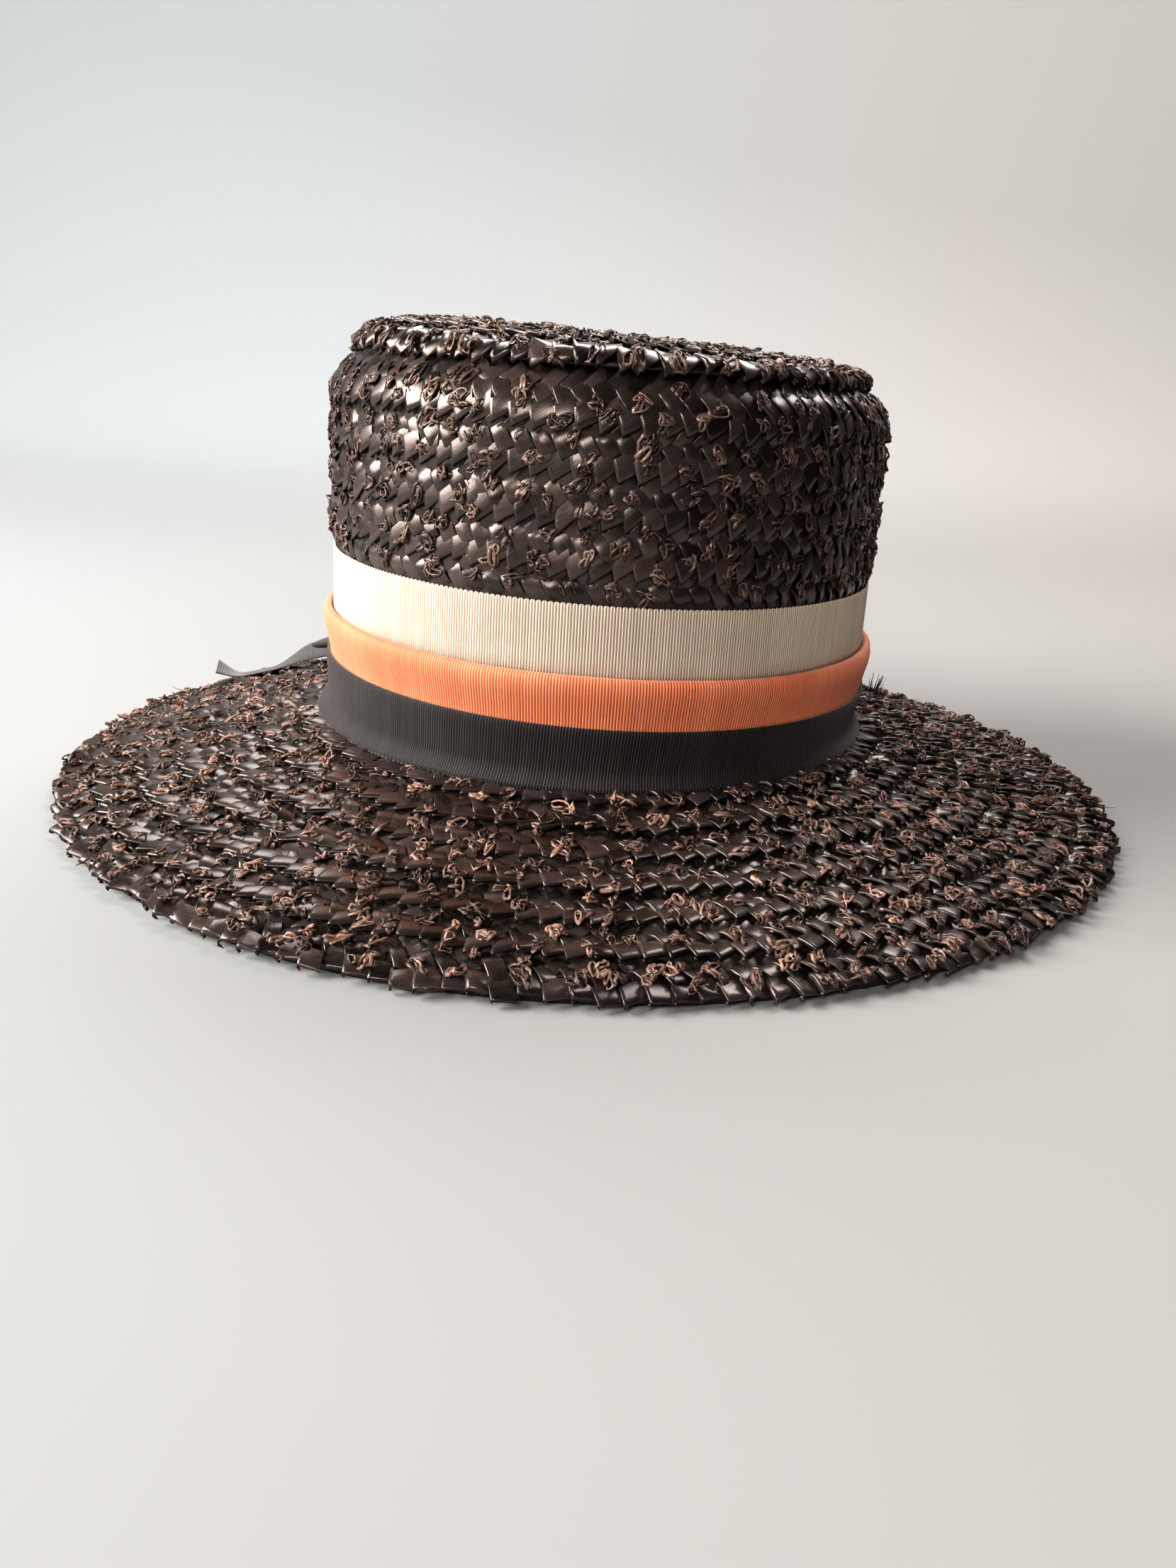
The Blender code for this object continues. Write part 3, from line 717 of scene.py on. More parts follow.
def nub_points(at, edges, widths, seed):
    """Every loop is a long ring of cord, tilted off the braid and set about its bunch's middle.

    The ring is an ellipse bent up or down at its ends, and the cord a flat strip that twists
    and is crumpled at random. Its strip coordinates run along it and round it.
    """
    draw = np.random.default_rng(seed)
    turn = np.linspace(0.0, 2.0 * np.pi, NUB_RINGS, endpoint=False)[:, None]
    round_cord = np.linspace(0.0, 2.0 * np.pi, NUB_SIDES, endpoint=False)[None, :]
    parts = []
    for number, (edge, width) in enumerate(zip(edges, widths)):
        for level in LIP_NUB_LEVELS if at is tip_at and edge == 0.0 else NUB_LEVELS:
            middle = edge + level * width
            angle, speed = places_round(at, middle, NUB_SPACING, NUB_OFFSET * number + level)
            count = len(angle)
            angle = angle + draw.normal(0.0, NUB_SCATTER["along"], count) / speed
            across = middle + draw.normal(0.0, NUB_SCATTER["across"], count)
            spots = at(angle, across, 0.0)
            on_crown = spots[:, 2] > CREAM_TOP + NUB_ABOVE_BAND
            free = on_crown | ((spots[:, 2] < FOOT_HEIGHT) & ~under_ribbons(spots[:, :2]))
            angle, across, speed, count = angle[free], across[free], speed[free], int(free.sum())
            bunch = draw.uniform(*NUB_RANGES["bunch"], count) * (BRIM_NUB_SIZE if at is brim_at else 1.0)
            heading = draw.choice(NUB_HEADINGS["ways"], count, p=NUB_HEADINGS["odds"])
            heading = heading + draw.normal(0.0, NUB_SCATTER["heading"], count)
            shape = (count, NUB_LOOPS)
            each_ring = shape + (NUB_RINGS, 1)
            size = bunch[:, None] * draw.uniform(*NUB_RANGES["size"], shape)
            long = per_point(NUB_LONG * size * draw.uniform(*NUB_RANGES["long"], shape))
            short = per_point(NUB_SHORT * size * draw.uniform(*NUB_RANGES["short"], shape))
            yaw = per_point(heading[:, None] + draw.normal(0.0, NUB_SCATTER["yaw"], shape))
            roll = per_point(draw.uniform(*NUB_RANGES["roll"], shape) * draw.choice((-1.0, 1.0), shape))
            pitch = per_point(draw.normal(0.0, NUB_SCATTER["pitch"], shape))
            aside = per_point(draw.normal(0.0, NUB_SCATTER["place"], shape))
            beside = per_point(draw.normal(0.0, NUB_SCATTER["place"], shape))
            stand = per_point(draw.uniform(*NUB_RANGES["stand"], shape))
            curl = per_point(draw.normal(NUB_CURL, NUB_SCATTER["curl"], shape))
            cord = NUB_CORD * np.sqrt(bunch)[:, None] * draw.uniform(*NUB_RANGES["cord"], shape)
            crumple = draw.uniform(*NUB_RANGES["crumple"], shape + (NUB_RINGS, NUB_SIDES))
            wobble = 1.0 + NUB_WOBBLE * draw.normal(0.0, 1.0, each_ring)
            twist = per_point(draw.uniform(0.0, np.pi, shape))
            twist = twist + draw.normal(0.0, NUB_SCATTER["twist"], each_ring)
            wide = per_point(cord) * crumple * np.cos(round_cord)
            thick = per_point(cord) * crumple * NUB_FLATNESS * np.sin(round_cord)
            out = wide * np.cos(twist) - thick * np.sin(twist)
            over = wide * np.sin(twist) + thick * np.cos(twist)
            first = (long * wobble + out) * np.cos(turn)
            second = (short * wobble + out) * np.sin(turn)
            flat = second * np.cos(roll) - over * np.sin(roll)
            up = second * np.sin(roll) + over * np.cos(roll) + first * np.sin(pitch)
            up = up + curl * (first / long) ** 2
            run = first * np.cos(yaw) - flat * np.sin(yaw) + aside
            rise = first * np.sin(yaw) + flat * np.cos(yaw) + beside
            base = across[:, None, None, None]
            lift = np.maximum(up + stand, NUB_LIFT["lowest"])
            lift = lift + round_lift(np.clip((base + rise - edge) / width, 0.0, 1.0)) + NUB_LIFT["clear"]
            spot = angle[:, None, None, None] + run / speed[:, None, None, None]
            tone = NUB_TONE["bunch"] * draw.uniform(0.0, 1.0, (count, 1)) ** NUB_TONE["power"]
            tone = tone + draw.uniform(0.0, NUB_TONE["loop"], shape)
            # Painted shade: the nubs on the crown are darkened, because the crown's sides take less light
            # from above than the brim.
            tone = tone if at is brim_at else tone * CROWN_NUB_PAINTED_SHADE
            place = per_point(draw.uniform(0.0, STRIP_RANGE, shape))
            down_cord = place + NUB_STRIP_STEPS[0] * np.arange(NUB_RINGS)[:, None]
            round_it = place + NUB_STRIP_STEPS[1] * np.arange(NUB_SIDES)[None, :]
            shade = np.repeat(tone.ravel(), NUB_RINGS * NUB_SIDES)
            points = at(spot, base + rise, lift).reshape(-1, 3)
            parts.append((points, strip_pairs(down_cord, round_it), shade))
    return gathered(parts)


RAFFIA_COLOURS = [(0.012, 0.0065, 0.0048), (0.42, 0.25, 0.195)]
raffia_finish = straw_finish(
    "raffia_copper_brown", *RAFFIA_COLOURS, roughness=0.22, bump_mm=0.25, shade_from="shade", gloss=1.0
)


def nubs(name, at, edges, widths, seed):
    """The raffia nubs of one part of the hat, as one piece."""
    one = tube_faces(NUB_RINGS, NUB_SIDES, True)[:, ::-1]
    return straw_piece(name, nub_points(at, edges, widths, seed), one, raffia_finish)


nubs("brim_nubs_outer", brim_at, BRIM_ROUND_EDGES[:3], BRIM_ROUND_WIDTHS[:3], 31)
nubs("brim_nubs_inner", brim_at, BRIM_ROUND_EDGES[3:], BRIM_ROUND_WIDTHS[3:], 32)
nubs("crown_side_nubs", side_at, SIDE_ROUND_EDGES, SIDE_ROUND_WIDTHS, 33)
nubs("crown_tip_nubs", tip_at, TIP_ROUND_EDGES, TIP_ROUND_WIDTHS, 34)

# The cream ribbon.
# A ribbed grosgrain ribbon goes flat round the crown. Its threads make upright ribs, and at its
# top they turn in small loops two ribs wide.

RIB_PITCH = 0.8
RIB_DEPTH = 0.34
RIB_COLUMNS = 3
RIB_ROUNDNESS = 0.6
EDGE_LOOP_ROUNDNESS = 0.7
RIB_SHADE = 0.22
WAVE_SIZES = (1.0, 0.8)
RIBBON_SEAT = 0.3
RIBBON_THICKNESS = 0.7
BAND_TUCK = 5.0


def band_points(section, ribbed, loop_edge=None, loop_size=0.0, wave=0.0):
    """Carries a ribbon's closed section round the crown, with a rib every pitch.

    A rib's outside is a rounded bump in the way round. Rows marked in ribbed take it in full.
    Slow waves of the ribbon's own size lift it off the crown and let its edges wander. The shade
    it returns is painted shade, full between ribs where shadow falls, plus a little random tone of
    each rib's own threads.
    """
    turn, length = arc_table(CROWN_HALF_WIDTH, CROWN_HALF_DEPTH)
    ribs = 2 * int(round(length[-1] / RIB_PITCH / 2.0))
    column = np.arange(ribs * RIB_COLUMNS)
    angle = np.interp(column / len(column) * length[-1], length, turn)[None, :]
    bump = RIB_DEPTH * np.abs(np.sin(np.pi * column / RIB_COLUMNS)) ** RIB_ROUNDNESS
    section = np.array(section)
    free = np.array(ribbed)[:, None]
    reach = section[:, 0:1] + free * (bump[None, :] - RIB_DEPTH)
    height = np.broadcast_to(section[:, 1:2], reach.shape).copy()
    if loop_edge is not None:
        scallop = np.abs(np.sin(np.pi * column / (2.0 * RIB_COLUMNS))) ** EDGE_LOOP_ROUNDNESS
        height[loop_edge] += loop_size * scallop
    reach = reach + wave * free * np.abs(waver(angle, ribs, WAVE_SIZES[0]))
    height = height + wave * free * waver(angle, ribs + 1, WAVE_SIZES[1])
    x, y = oval(angle, reach)
    shade = np.random.default_rng(ribs).uniform(0.0, RIB_SHADE, ribs)[column // RIB_COLUMNS]
    shade = np.where(column % RIB_COLUMNS == 0, 1.0, shade)
    return leaned(x, y, height), np.broadcast_to(shade, reach.shape), len(column)


def grosgrain_group():
    """Fine cross threads on the ribs, and a slow unevenness in how the ribbon takes its dye."""
    group, given, end = effect_group("grosgrain_threads", ["Place"], ["Threads", "Tone"])
    squeezed = add_node(group, "Mapping", {"Vector": given["Place"], "Scale": (1.0, 1.0, 3.0)})
    threads = noise(group, squeezed.outputs["Vector"], 2600.0, 1.0)
    join_or_set(group, end, {"Threads": threads, "Tone": noise(group, given["Place"], 60.0, 3.0)})
    return group


grosgrain_threads = grosgrain_group()


def ribbon_finish(name, dark, light, roughness=0.75, sheen=0.25, painted_shade_share=1.0):
    """Grosgrain: the dye's unevenness and the threads mix its two tones, under a soft sheen.

    Between ribs its colour goes over to painted shade, a darkened colour in place of the shadow
    there, by the painted shade attribute times a share; each rib also takes a little random tone.
    """
    finish = bpy.data.materials.new(name)
    finish.use_nodes = True
    tree = finish.node_tree
    place = add_node(tree, "TexCoord", {}).outputs["Object"]
    weave = add_node(tree, "Group", {"Place": place}, node_tree=grosgrain_threads).outputs
    painted_shade_and_rib_tone = add_node(tree, "Attribute", {}, attribute_name="painted_shade_and_rib_tone").outputs["Fac"]
    threads = times_plus(tree, weave["Threads"], 0.8, -0.4)
    face = mix_colours(tree, times_plus(tree, weave["Tone"], 1.0, threads, clamp=True), dark, light)
    # Painted shade: between ribs the colour goes towards a third of the dark tone.
    painted_shade_and_tone_mix = times_plus(tree, painted_shade_and_rib_tone, painted_shade_share, 0.0, clamp=True)
    bump = {"Distance": 0.06 * MM, "Strength": 0.8, "Height": weave["Threads"]}
    join_or_set(tree, tree.nodes["Principled BSDF"], {
        "Base Color": mix_colours(tree, painted_shade_and_tone_mix, face, [v * 0.35 for v in dark]),
        "Normal": add_node(tree, "Bump", bump).outputs["Normal"],
        "Roughness": roughness,
        "Specular IOR Level": 0.3,
        "Sheen Weight": sheen,
        "Sheen Roughness": 0.4,
    })
    return finish


def mark_painted_shade_and_rib_tone(piece, painted_shade_and_rib_tone):
    """How much painted shade each point's colour takes: 1 between ribs, and on the ribs only a little random
    tone of their own.
    """
    marks = piece.data.attributes.new("painted_shade_and_rib_tone", "FLOAT", "POINT")
    marks.data.foreach_set("value", np.ascontiguousarray(painted_shade_and_rib_tone, dtype=np.float32).ravel())


def band(name, section, ribbed, finish, node, slot, **shape):
    """A ribbon round the crown from its section, in place of its solid."""
    points, painted_shade_and_rib_tone, columns = band_points(section, ribbed, **shape)
    made = piece_from(name, points, tube_faces(len(section), columns, True), finish)
    mark_painted_shade_and_rib_tone(made, painted_shade_and_rib_tone)
    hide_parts(node)
    return made


cream_finish = ribbon_finish("ribbon_cream_grosgrain", (0.66, 0.545, 0.435), (0.86, 0.735, 0.60), sheen=0.05)
CREAM_FOOT = CORAL_TOP - BAND_TUCK
CREAM_OUT = RIBBON_SEAT + RIBBON_THICKNESS
cream_section = [
    (RIBBON_SEAT, CREAM_FOOT),
    (CREAM_OUT, CREAM_FOOT),
    (CREAM_OUT, CORAL_TOP + 4.0),
    (CREAM_OUT + 0.1, CREAM_TOP - 4.0),
    (CREAM_OUT + 0.1, CREAM_TOP - 0.9),
    (CREAM_OUT, CREAM_TOP - 0.35),
    ((RIBBON_SEAT + CREAM_OUT) / 2.0, CREAM_TOP - 0.15),
    (RIBBON_SEAT, CREAM_TOP - 0.5),
]
cream = band(
    "cream_ribbon", cream_section, [0, 0.6, 1, 1, 1, 1, 0.3, 0], cream_finish,
    "ribbon_cream", "ribbon_cream", loop_edge=[4, 5, 6], loop_size=0.45, wave=0.14,
)

# The coral ribbon.
# It is folded over a soft roll along its top and tucked behind the charcoal ribbon below.

coral_finish = ribbon_finish("ribbon_coral_grosgrain", (0.88, 0.205, 0.092), (1.0, 0.39, 0.205), 0.6, 0.35)
CORAL_BACK = 2.0 * RIBBON_SEAT + RIBBON_THICKNESS
CORAL_FRONT = CORAL_BACK + RIBBON_THICKNESS
CORAL_ROLL = CORAL_BACK + 2.7
CORAL_FOOT = CHARCOAL_TOP - BAND_TUCK
coral_section = [
    (CORAL_BACK, CORAL_FOOT),
    (CORAL_FRONT, CORAL_FOOT),
    (CORAL_FRONT, CHARCOAL_TOP + 0.5),
    (CORAL_FRONT + 0.5, CHARCOAL_TOP + 3.0),
    (CORAL_ROLL - 0.9, CORAL_TOP - 8.0),
    (CORAL_ROLL - 0.25, CORAL_TOP - 5.5),
    (CORAL_ROLL, CORAL_TOP - 3.3),
    (CORAL_ROLL - 0.2, CORAL_TOP - 1.5),
    (CORAL_ROLL - 0.8, CORAL_TOP - 0.45),
    (CORAL_BACK + 0.9, CORAL_TOP),
    (CORAL_BACK + 0.15, CORAL_TOP - 0.4),
    (CORAL_BACK, CORAL_TOP - 1.4),
    (CORAL_BACK, CHARCOAL_TOP),
]
coral = band(
    "coral_ribbon", coral_section, [0, 0.6, 1, 1, 1, 1, 1, 1, 1, 0.8, 0.4, 0, 0], coral_finish,
    "ribbon_coral", "ribbon_coral", wave=0.2,
)

# The charcoal ribbon.
# The lowest ribbon is folded over the coral one's edge, drawn in to a waist, and flares out on
# to the brim, where its threads turn in loops.

CHARCOAL_COLOURS = [(0.011, 0.0088, 0.0088), (0.062, 0.050, 0.049)]
# The charcoal's painted shade between ribs is made wider and stronger.
charcoal_finish = ribbon_finish("ribbon_charcoal_grosgrain", *CHARCOAL_COLOURS, 0.7, 0.4, painted_shade_share=1.9)
CHARCOAL_BACK = CORAL_FRONT + RIBBON_SEAT
CHARCOAL_FRONT = CHARCOAL_BACK + RIBBON_THICKNESS
CHARCOAL_FLARE = 3.4 + RIBBON_SEAT
CHARCOAL_STEP = CHARCOAL_TOP - BAND_TUCK - RIBBON_SEAT
EDGE_LOOP_REACH = 0.6
CHARCOAL_EDGE = brim_top(CHARCOAL_FLARE + RIBBON_THICKNESS) + ROUND_STEP + RIBBON_SEAT + EDGE_LOOP_REACH
charcoal_section = [
    (CHARCOAL_FLARE, CHARCOAL_EDGE),
    (CHARCOAL_FLARE + RIBBON_THICKNESS + 0.5, CHARCOAL_EDGE),
    (CHARCOAL_FLARE + RIBBON_THICKNESS * 0.3, CHARCOAL_EDGE + 1.0),
    (CHARCOAL_FLARE - 1.2, CHARCOAL_EDGE + 2.6),
    (2.0, CHARCOAL_EDGE + 4.6),
    (1.9, CHARCOAL_EDGE + 6.4),
    (CHARCOAL_FRONT - 0.25, CHARCOAL_TOP - 4.2),
    (CHARCOAL_FRONT, CHARCOAL_TOP - 1.8),
    (CHARCOAL_FRONT - 0.05, CHARCOAL_TOP - 0.5),
    (CHARCOAL_FRONT - 0.3, CHARCOAL_TOP - 0.05),
    (CHARCOAL_BACK, CHARCOAL_TOP - 0.1),
    (CHARCOAL_BACK, CHARCOAL_STEP),
    (RIBBON_SEAT, CHARCOAL_STEP - 0.3),
    (RIBBON_SEAT, CHARCOAL_EDGE + 4.6),
]
charcoal = band(
    "charcoal_ribbon", charcoal_section, [0.3, 1, 1, 1, 1, 1, 1, 1, 1, 0.8, 0, 0, 0, 0],
    charcoal_finish, "ribbon_charcoal", "ribbon_charcoal", loop_edge=[0, 1], loop_size=-0.4,
)

# The bow.
# A flat bow of charcoal ribbon sits on the brim behind the crown's left side: two loops, a
# wrapped knot over their middle, and two tails that lie along the brim.

HALVINGS = 40
FARTHEST = BRIM_REACH * 1.5
STRIP_SHARES = np.array([0.0, 0.06, 0.3, 0.5, 0.7, 0.94, 1.0])
STRIP_HEIGHTS = np.array([0.0, 0.85, 1.0, 1.0, 1.0, 0.85, 0.0])
BOW_RIB_DEPTH = RIB_DEPTH * 0.5
BOW_RIB_ROUNDNESS = 0.7


def reach_of(x, y):
    """How far a point in plan is from the crown's oval, found by halving."""
    low = np.zeros_like(x)
    high = np.full_like(x, FARTHEST)
    for _ in range(HALVINGS):
        reach = (low + high) / 2.0
        outside = (x / (CROWN_HALF_WIDTH + reach)) ** 2 + (y / (CROWN_HALF_DEPTH + reach)) ** 2 > 1.0
        low = np.where(outside, reach, low)
        high = np.where(outside, high, reach)
    return low


def on_brim(plan, lift):
    """Points over the brim, lifted off the highest steps of its rounds."""
    height = brim_top(reach_of(plan[..., 0], plan[..., 1])) + ROUND_STEP + RIBBON_SEAT
    return np.concatenate((plan, (height + lift)[..., None]), axis=-1)


def end_faces(around):
    """Faces that close a tube's end: two steps of one half joined to the two that face them."""
    step = np.arange(around // 2 - 1)
    return np.stack((step, step + 1, around - 2 - step, around - 1 - step), axis=-1)


def closed_tube(rings, around):
    """A tube's faces with both of its ends closed."""
    first = end_faces(around)[:, ::-1]
    last = end_faces(around) + (rings - 1) * around
    return np.concatenate((tube_faces(rings, around), first, last))


def ribbed_strip(name, left, right, up, node):
    """A ribbon strip between two edge lines, its ribs across it and its two faces joined round.

    The cross section runs over the top from left to right and back underneath. A rib raises the
    top and lowers the underside by a rounded bump of the station's number.
    """
    stations = len(left)
    rib = np.abs(np.sin(np.pi * np.arange(stations) / RIB_COLUMNS)) ** BOW_RIB_ROUNDNESS
    bump = BOW_RIB_DEPTH * rib
    top = np.concatenate((STRIP_SHARES, STRIP_SHARES[-2:0:-1]))
    side = np.concatenate((STRIP_HEIGHTS, -STRIP_HEIGHTS[-2:0:-1]))
    middle = left[:, None, :] + (right - left)[:, None, :] * top[None, :, None]
    size = BOW_STRIP / 2.0 + bump[:, None] - BOW_RIB_DEPTH
    points = middle + up[:, None, :] * (side[None, :] * size)[:, :, None]
    made = piece_from(name, points, closed_tube(stations, len(top)), charcoal_finish)
    # Painted shade: the stations between ribs are marked to take the full dark colour.
    between = (np.arange(stations) % RIB_COLUMNS == 0).astype(float)
    mark_painted_shade_and_rib_tone(made, np.broadcast_to(between[:, None], points.shape[:2]))
    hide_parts(node)
    return made


def edge_up(left, right):
    """The strip's own up at each station: square to its way along and to its width."""
    middle = (left + right) / 2.0
    ahead = np.gradient(middle, axis=0)
    up = np.cross(ahead, left - right)
    return up / np.linalg.norm(up, axis=1, keepdims=True)


LOOP_STATIONS = 2 * RIB_COLUMNS * int(LOOP_LENGTH / RIB_PITCH)
LOOP_FULLNESS = 0.5
LOOP_BLUNTNESS = 0.75
NECK_LOW = KNOT_HEIGHT * 0.4
NECK_HIGH = KNOT_HEIGHT * 0.75


def bow_loop(name, node, direction):
    """Out over the brim, round the loop's end and back above, as half an ellipse with a neck."""
    turn = np.linspace(0.0, np.pi, LOOP_STATIONS)
    fullness = np.sin(turn) ** LOOP_FULLNESS
    climb = 0.5 * (1.0 - np.cos(turn))
    low = NECK_LOW + (LOOP_LIFT + BOW_STRIP / 2.0 - NECK_LOW) * fullness
    high = NECK_HIGH + (LOOP_LIFT + LOOP_HEIGHT - BOW_STRIP / 2.0 - NECK_HIGH) * fullness
    length = KNOT_LENGTH / 2.0 + RIBBON_SEAT + LOOP_LENGTH * np.sin(turn) ** LOOP_BLUNTNESS
    lift = low + (high - low) * climb
    width = LOOP_NECK + (BOW_RIBBON_WIDTH - LOOP_NECK) * fullness
    base = bow_foot + bow_along * (direction * length)[:, None]
    inner = on_brim(base + bow_out * BOW_SEAT, lift)
    outer = on_brim(base + bow_out * (BOW_SEAT + width)[:, None], lift)
    left, right = (outer, inner) if direction > 0 else (inner, outer)
    made = ribbed_strip(name, left, right, edge_up(left, right), node)
    return made


bow_loop("bow_front_loop", "bow_loop_front", 1.0)
bow_loop("bow_back_loop", "bow_loop_back", -1.0)

TAIL_LIFT = 8.0
TAIL_OPENING = 3.0
PLAIT_CLEARANCE = 2.0
SIDE_TAIL_LIFTS = [
    {"along": 0.00, "front": 0.10, "back": 0.90},
    {"along": 0.22, "front": 0.15, "back": 1.25},
    {"along": 0.45, "front": 0.20, "back": 0.95},
    {"along": 0.70, "front": 0.05, "back": 0.08},
    {"along": 0.84, "front": 0.05, "back": 0.06},
    {"along": 1.12, "front": 0.80, "back": 1.60},
]
BACK_TAIL_LIFTS = [
    {"along": 0.00, "front": 0.05, "back": 0.05},
    {"along": 0.30, "front": 0.40, "back": 0.30},
    {"along": 0.55, "front": 0.10, "back": 0.08},
    {"along": 0.85, "front": 0.06, "back": 0.06},
    {"along": 1.00, "front": 0.28, "back": 0.20},
]


def levelled(step):
    """From 0 to 1 with a level start and end: three squares less two cubes."""
    return step * step * (3.0 - 2.0 * step)


def eased(share, rows, column):
    """Heights between a table's rows, easing in and out of each."""
    places = np.array([row["along"] for row in rows])
    heights = np.array([row[column] for row in rows])
    after = np.clip(np.searchsorted(places, share, side="right"), 1, len(places) - 1)
    step = (share - places[after - 1]) / (places[after] - places[after - 1])
    return heights[after - 1] + (heights[after] - heights[after - 1]) * levelled(step)


def bow_tail(name, node, tail, lifts):
    """Straight out over the brim at its heading, each edge lifted by its own line of lifts."""
    start, ahead, across = tail_start(tail)
    share = np.linspace(0.0, 1.0, RIB_COLUMNS * int(tail["length"] / RIB_PITCH))
    opened = levelled(np.clip(share * TAIL_OPENING, 0.0, 1.0))
    width = TAIL_NECK + (TAIL_WIDTH - TAIL_NECK) * opened
    plan = start + ahead * (tail["length"] * share)[:, None]
    edges = {}
    for side, column in ((0.5, "front"), (-0.5, "back")):
        heights = TAIL_LIFT * eased(share, lifts, column) + BOW_STRIP / 2.0 + PLAIT_CLEARANCE
        edges[column] = on_brim(plan + across * (width * side)[:, None], heights)
    left, right = edges["front"], edges["back"]
    made = ribbed_strip(name, left, right, edge_up(left, right), node)
    return made


bow_tail("bow_side_tail", "bow_tail_side", SIDE_TAIL, SIDE_TAIL_LIFTS)
bow_tail("bow_back_tail", "bow_tail_back", BACK_TAIL, BACK_TAIL_LIFTS)

KNOT_STATIONS = 96
KNOT_SQUARENESS = 0.42
KNOT_SHARES = np.array([-0.5, -0.49, -0.44, -0.3, -0.1, 0.1, 0.3, 0.44, 0.49, 0.5])
KNOT_SCALES = np.array([0.35, 0.8, 0.93, 1.0, 0.97, 0.97, 1.0, 0.93, 0.8, 0.35])


def bow_knot(name, node):
    """A block wrapped in ribbon: a rounded rectangle carried along the bow, smaller at its ends."""
    turn = np.linspace(0.0, 2.0 * np.pi, KNOT_STATIONS, endpoint=False)
    up = KNOT_HEIGHT / 2.0 * np.sign(np.cos(turn)) * np.abs(np.cos(turn)) ** KNOT_SQUARENESS
    depth = KNOT_DEPTH / 2.0 * np.sign(np.sin(turn)) * np.abs(np.sin(turn)) ** KNOT_SQUARENESS
    plan = bow_foot + bow_along * (KNOT_SHARES * KNOT_LENGTH)[:, None]
    out = BOW_SEAT + KNOT_DEPTH / 2.0 + depth * KNOT_SCALES[:, None]
    plan = plan[:, None, :] + bow_out * out[..., None]
    points = on_brim(plan, KNOT_HEIGHT / 2.0 + up * KNOT_SCALES[:, None])
    made = piece_from(name, points, closed_tube(len(KNOT_SHARES), KNOT_STATIONS), charcoal_finish)
    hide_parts(node)
    return made


bow_knot("bow_wrapped_knot", "bow_knot")

# The loose straw ends.
# Here and there a strip's end has worked out of the braid's edge, and a frayed tuft of split
# straw stands on the brim beside the crown's right side, where two lengths are joined.

STRAW_ENDS = [
    {"turn": 157.0, "across": 1.0, "way": -80.0, "long": 9.0, "rise": 3.0},
    {"turn": 160.0, "across": 1.5, "way": -115.0, "long": 6.5, "rise": 1.5},
    {"turn": 219.0, "across": 1.0, "way": -70.0, "long": 6.0, "rise": 0.5},
    {"turn": 247.0, "across": 1.5, "way": -105.0, "long": 5.0, "rise": -0.5},
    {"turn": 318.0, "across": 1.0, "way": -60.0, "long": 6.0, "rise": 1.0},
    {"turn": 352.0, "across": 1.5, "way": -95.0, "long": 7.0, "rise": 1.5},
    {"turn": 38.0, "across": 1.0, "way": -120.0, "long": 6.0, "rise": 2.0},
    {"turn": 96.0, "across": 1.5, "way": -75.0, "long": 6.0, "rise": 1.0},
]
STRAW_END_WIDTH = 1.3
TUFT_TURN = 30.0
TUFT_ACROSS = 41.0
TUFT_STRAWS = 34
TUFT_STRAW_WIDTH = 0.45
TUFT_SCATTER = {"turn": 0.008, "across": 1.2}
TUFT_RANGES = {"long": (1.5, 5.0), "rise": (3.0, 9.5)}
END_RINGS = 6
END_SIDES = 4
END_TAPER = 0.7
END_LIFT = 1.8
END_SHADE = 0.5


def loose_straws(name, turn, across, way, long, rise, width):
    """Flat straws that leave the braid at a heading, climb as a square curve and taper.

    Their cross section has four corners, its thickness a quarter of its width.
    """
    count = len(turn)
    share = np.linspace(0.0, 1.0, END_RINGS)[None, :, None]
    corner = np.linspace(0.0, 2.0 * np.pi, END_SIDES, endpoint=False)[None, None, :]
    taper = 1.0 - END_TAPER * share**2
    along = spread(long) * share
    aside = width / 2.0 * taper * np.cos(corner)
    above = width / 8.0 * taper * np.sin(corner)
    run = along * np.cos(spread(way)) - aside * np.sin(spread(way))
    inward = along * np.sin(spread(way)) + aside * np.cos(spread(way))
    lift = END_LIFT + above + spread(rise) * share**2
    half_width, half_depth = CROWN_HALF_WIDTH + BRIM_REACH, CROWN_HALF_DEPTH + BRIM_REACH
    speed = np.hypot(half_width * np.sin(turn), half_depth * np.cos(turn))
    points = brim_at(spread(turn) + run / spread(speed), spread(across) + inward, lift)
    surface = (points.reshape(-1, 3), strip_pairs(along, aside), np.full(points[..., 0].size, END_SHADE))
    return straw_piece(name, surface, closed_tube(END_RINGS, END_SIDES), plait_straw)


ends = {key: np.array([row[key] for row in STRAW_ENDS]) for key in STRAW_ENDS[0]}
loose_straws(
    "loose_straw_ends", np.radians(ends["turn"]), ends["across"], np.radians(ends["way"]),
    ends["long"], ends["rise"], STRAW_END_WIDTH,
)
tuft = np.random.default_rng(41)
loose_straws(
    "frayed_straw_tuft",
    np.radians(TUFT_TURN) + tuft.normal(0.0, TUFT_SCATTER["turn"], TUFT_STRAWS),
    TUFT_ACROSS + tuft.normal(0.0, TUFT_SCATTER["across"], TUFT_STRAWS),
    tuft.uniform(0.0, 2.0 * np.pi, TUFT_STRAWS),
    tuft.uniform(*TUFT_RANGES["long"], TUFT_STRAWS),
    tuft.uniform(*TUFT_RANGES["rise"], TUFT_STRAWS),
    TUFT_STRAW_WIDTH,
)

# The surface that the hat stands on, and the wall behind.
# A pale seamless sheet comes forward under the hat and curves up behind it.

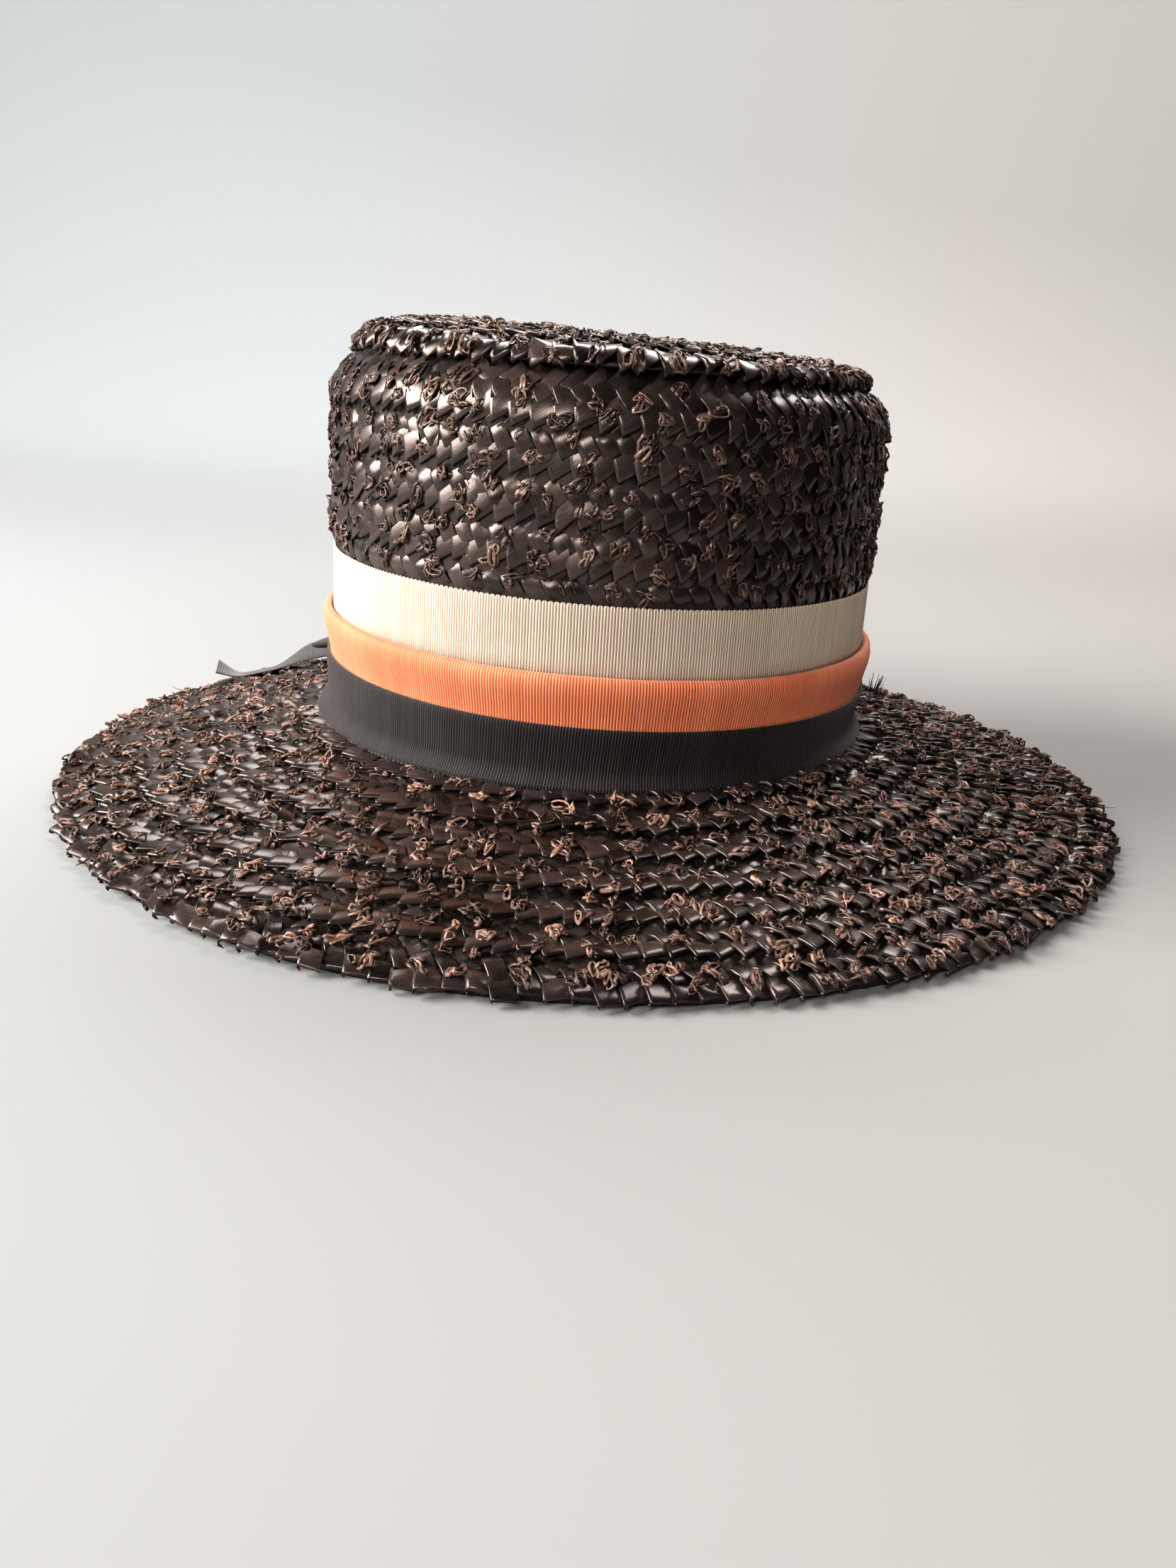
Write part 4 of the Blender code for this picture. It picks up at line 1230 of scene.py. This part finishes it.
FLOOR_DEPTH_FRONT = 1.6
FLOOR_DEPTH_BACK = 1.0
SWEEP_RADIUS = 0.6
SWEEP_HALF_WIDTH = 2.6
WALL_HEIGHT = 2.4
SWEEP_STEPS = 24
SWEEP_COLUMNS = 9
sweep_turn = np.linspace(0.0, np.pi / 2.0, SWEEP_STEPS)
sweep_y = np.concatenate(([-FLOOR_DEPTH_FRONT], FLOOR_DEPTH_BACK + SWEEP_RADIUS * np.sin(sweep_turn)))
sweep_z = np.concatenate(([0.0], SWEEP_RADIUS * (1.0 - np.cos(sweep_turn))))
sweep_y = np.append(sweep_y, sweep_y[-1])[:, None]
sweep_z = np.append(sweep_z, WALL_HEIGHT)[:, None]
sweep_x = np.linspace(-SWEEP_HALF_WIDTH, SWEEP_HALF_WIDTH, SWEEP_COLUMNS)[None, :]
sweep_points = np.stack(np.broadcast_arrays(sweep_x, sweep_y, sweep_z), axis=-1)
sweep_faces = grid_faces(len(sweep_y), SWEEP_COLUMNS)[:, ::-1]

PAPER_LEFT = (0.295, 0.313, 0.32)
PAPER_RIGHT = (0.33, 0.317, 0.303)


def seen_strength(tree, dim, bright):
    """How strongly something glows: bright to the camera itself, and dim to every other ray."""
    ray = add_node(tree, "LightPath", {}).outputs["Is Camera Ray"]
    return add_node(tree, "MapRange", {"Value": ray, "To Min": dim, "To Max": bright}).outputs["Result"]


# The paper glows as painted light in place of the room's light on it. Only the part behind the hat glows,
# fully to the camera and dimly to other rays. Its colour goes from a cooler grey on the left to a warmer one
# on the right.
backdrop_finish = bpy.data.materials.new("backdrop_paper")
backdrop_finish.use_nodes = True
paper = backdrop_finish.node_tree
paper_place = add_node(paper, "TexCoord", {}).outputs["Object"]
paper_split = add_node(paper, "SeparateXYZ", {"Vector": paper_place}).outputs
paper_across = {"Value": paper_split["X"], "From Min": -0.35, "From Max": 0.45}
paper_side = add_node(paper, "MapRange", paper_across).outputs["Result"]
paper_colour = mix_colours(paper, paper_side, PAPER_LEFT, PAPER_RIGHT)
paper_behind = {"Value": paper_split["Y"], "From Min": 0.5, "From Max": 1.3}
paper_lit = add_node(paper, "MapRange", paper_behind, interpolation_type="SMOOTHSTEP").outputs["Result"]
join_or_set(paper, paper.nodes["Principled BSDF"], {
    "Base Color": paper_colour,
    "Roughness": 0.9,
    "Emission Color": mix_colours(paper, paper_lit, (0.0, 0.0, 0.0), paper_colour),
    "Emission Strength": seen_strength(paper, 0.26, 1.0),
})

backdrop_mesh = bpy.data.meshes.new("backdrop")
backdrop_mesh.from_pydata(sweep_points.reshape(-1, 3).tolist(), [], sweep_faces.tolist())
backdrop_mesh.polygons.foreach_set("use_smooth", [True] * len(backdrop_mesh.polygons))
backdrop_mesh.materials.append(backdrop_finish)
backdrop = bpy.data.objects.new("backdrop", backdrop_mesh)
bpy.context.scene.collection.objects.link(backdrop)

# Light.
# A big soft window on the left gives the highlights, and a small light in front and a window
# behind open up the shade. The paper and the room look bright to the camera but stay dim to
# other rays, so that the dark straw keeps its dark reflections.


def window(name, place, aim, sides, watts, colour):
    """An oblong soft light at a place, turned to face its aim."""
    light = bpy.data.lights.new(name, "AREA")
    light.shape = "RECTANGLE"
    light.size, light.size_y = sides
    light.energy = watts
    light.color = colour
    made = bpy.data.objects.new(name, light)
    made.location = place
    made.rotation_euler = (Vector(aim) - Vector(place)).to_track_quat("-Z", "Y").to_euler()
    bpy.context.scene.collection.objects.link(made)
    return made


window("window_left", (-1.15, -0.25, 0.72), (0.0, 0.0, 0.05), (1.1, 0.7), 46.0, (1.0, 0.96, 0.92))
window("room_front", (-0.3, -1.5, 0.9), (0.0, 0.0, 0.05), (0.5, 0.4), 13.0, (1.0, 0.94, 0.89))
window("window_back", (0.2, 0.8, 1.0), (0.0, 0.0, 0.03), (1.3, 0.45), 16.0, (1.0, 0.96, 0.94))

room = bpy.data.worlds.new("room")
room.use_nodes = True
room_air = {"Color": (1.0, 0.90, 0.82, 1.0), "Strength": seen_strength(room.node_tree, 0.03, 0.6)}
join_or_set(room.node_tree, room.node_tree.nodes["Background"], room_air)
bpy.context.scene.world = room
bpy.context.scene.view_settings.view_transform = "Standard"
bpy.context.scene.view_settings.look = "Medium High Contrast"

# The camera.
# It stands at the photograph's angle, level with the hat's top and looking a little down.

PHOTO_HEIGHT_PX = 2212.0
FOCAL_PX = 2008.4
CAMERA_PLACE = (-0.0001, -0.4632, 0.1385)
CAMERA_PITCH = -0.299
CAMERA_HEADING = -0.002
CAMERA_ROLL = 0.047

camera_data = bpy.data.cameras.new("photo_camera")
camera_data.sensor_width = 36.0
camera_data.sensor_fit = "AUTO"
camera_data.lens = camera_data.sensor_width * FOCAL_PX / PHOTO_HEIGHT_PX
camera = bpy.data.objects.new("photo_camera", camera_data)
turned = Euler((np.pi / 2.0 + CAMERA_PITCH, 0.0, CAMERA_HEADING), "XYZ").to_matrix().to_4x4()
camera.matrix_world = Matrix.Translation(CAMERA_PLACE) @ turned @ Matrix.Rotation(CAMERA_ROLL, 4, "Z")
bpy.context.scene.collection.objects.link(camera)
bpy.context.scene.camera = camera
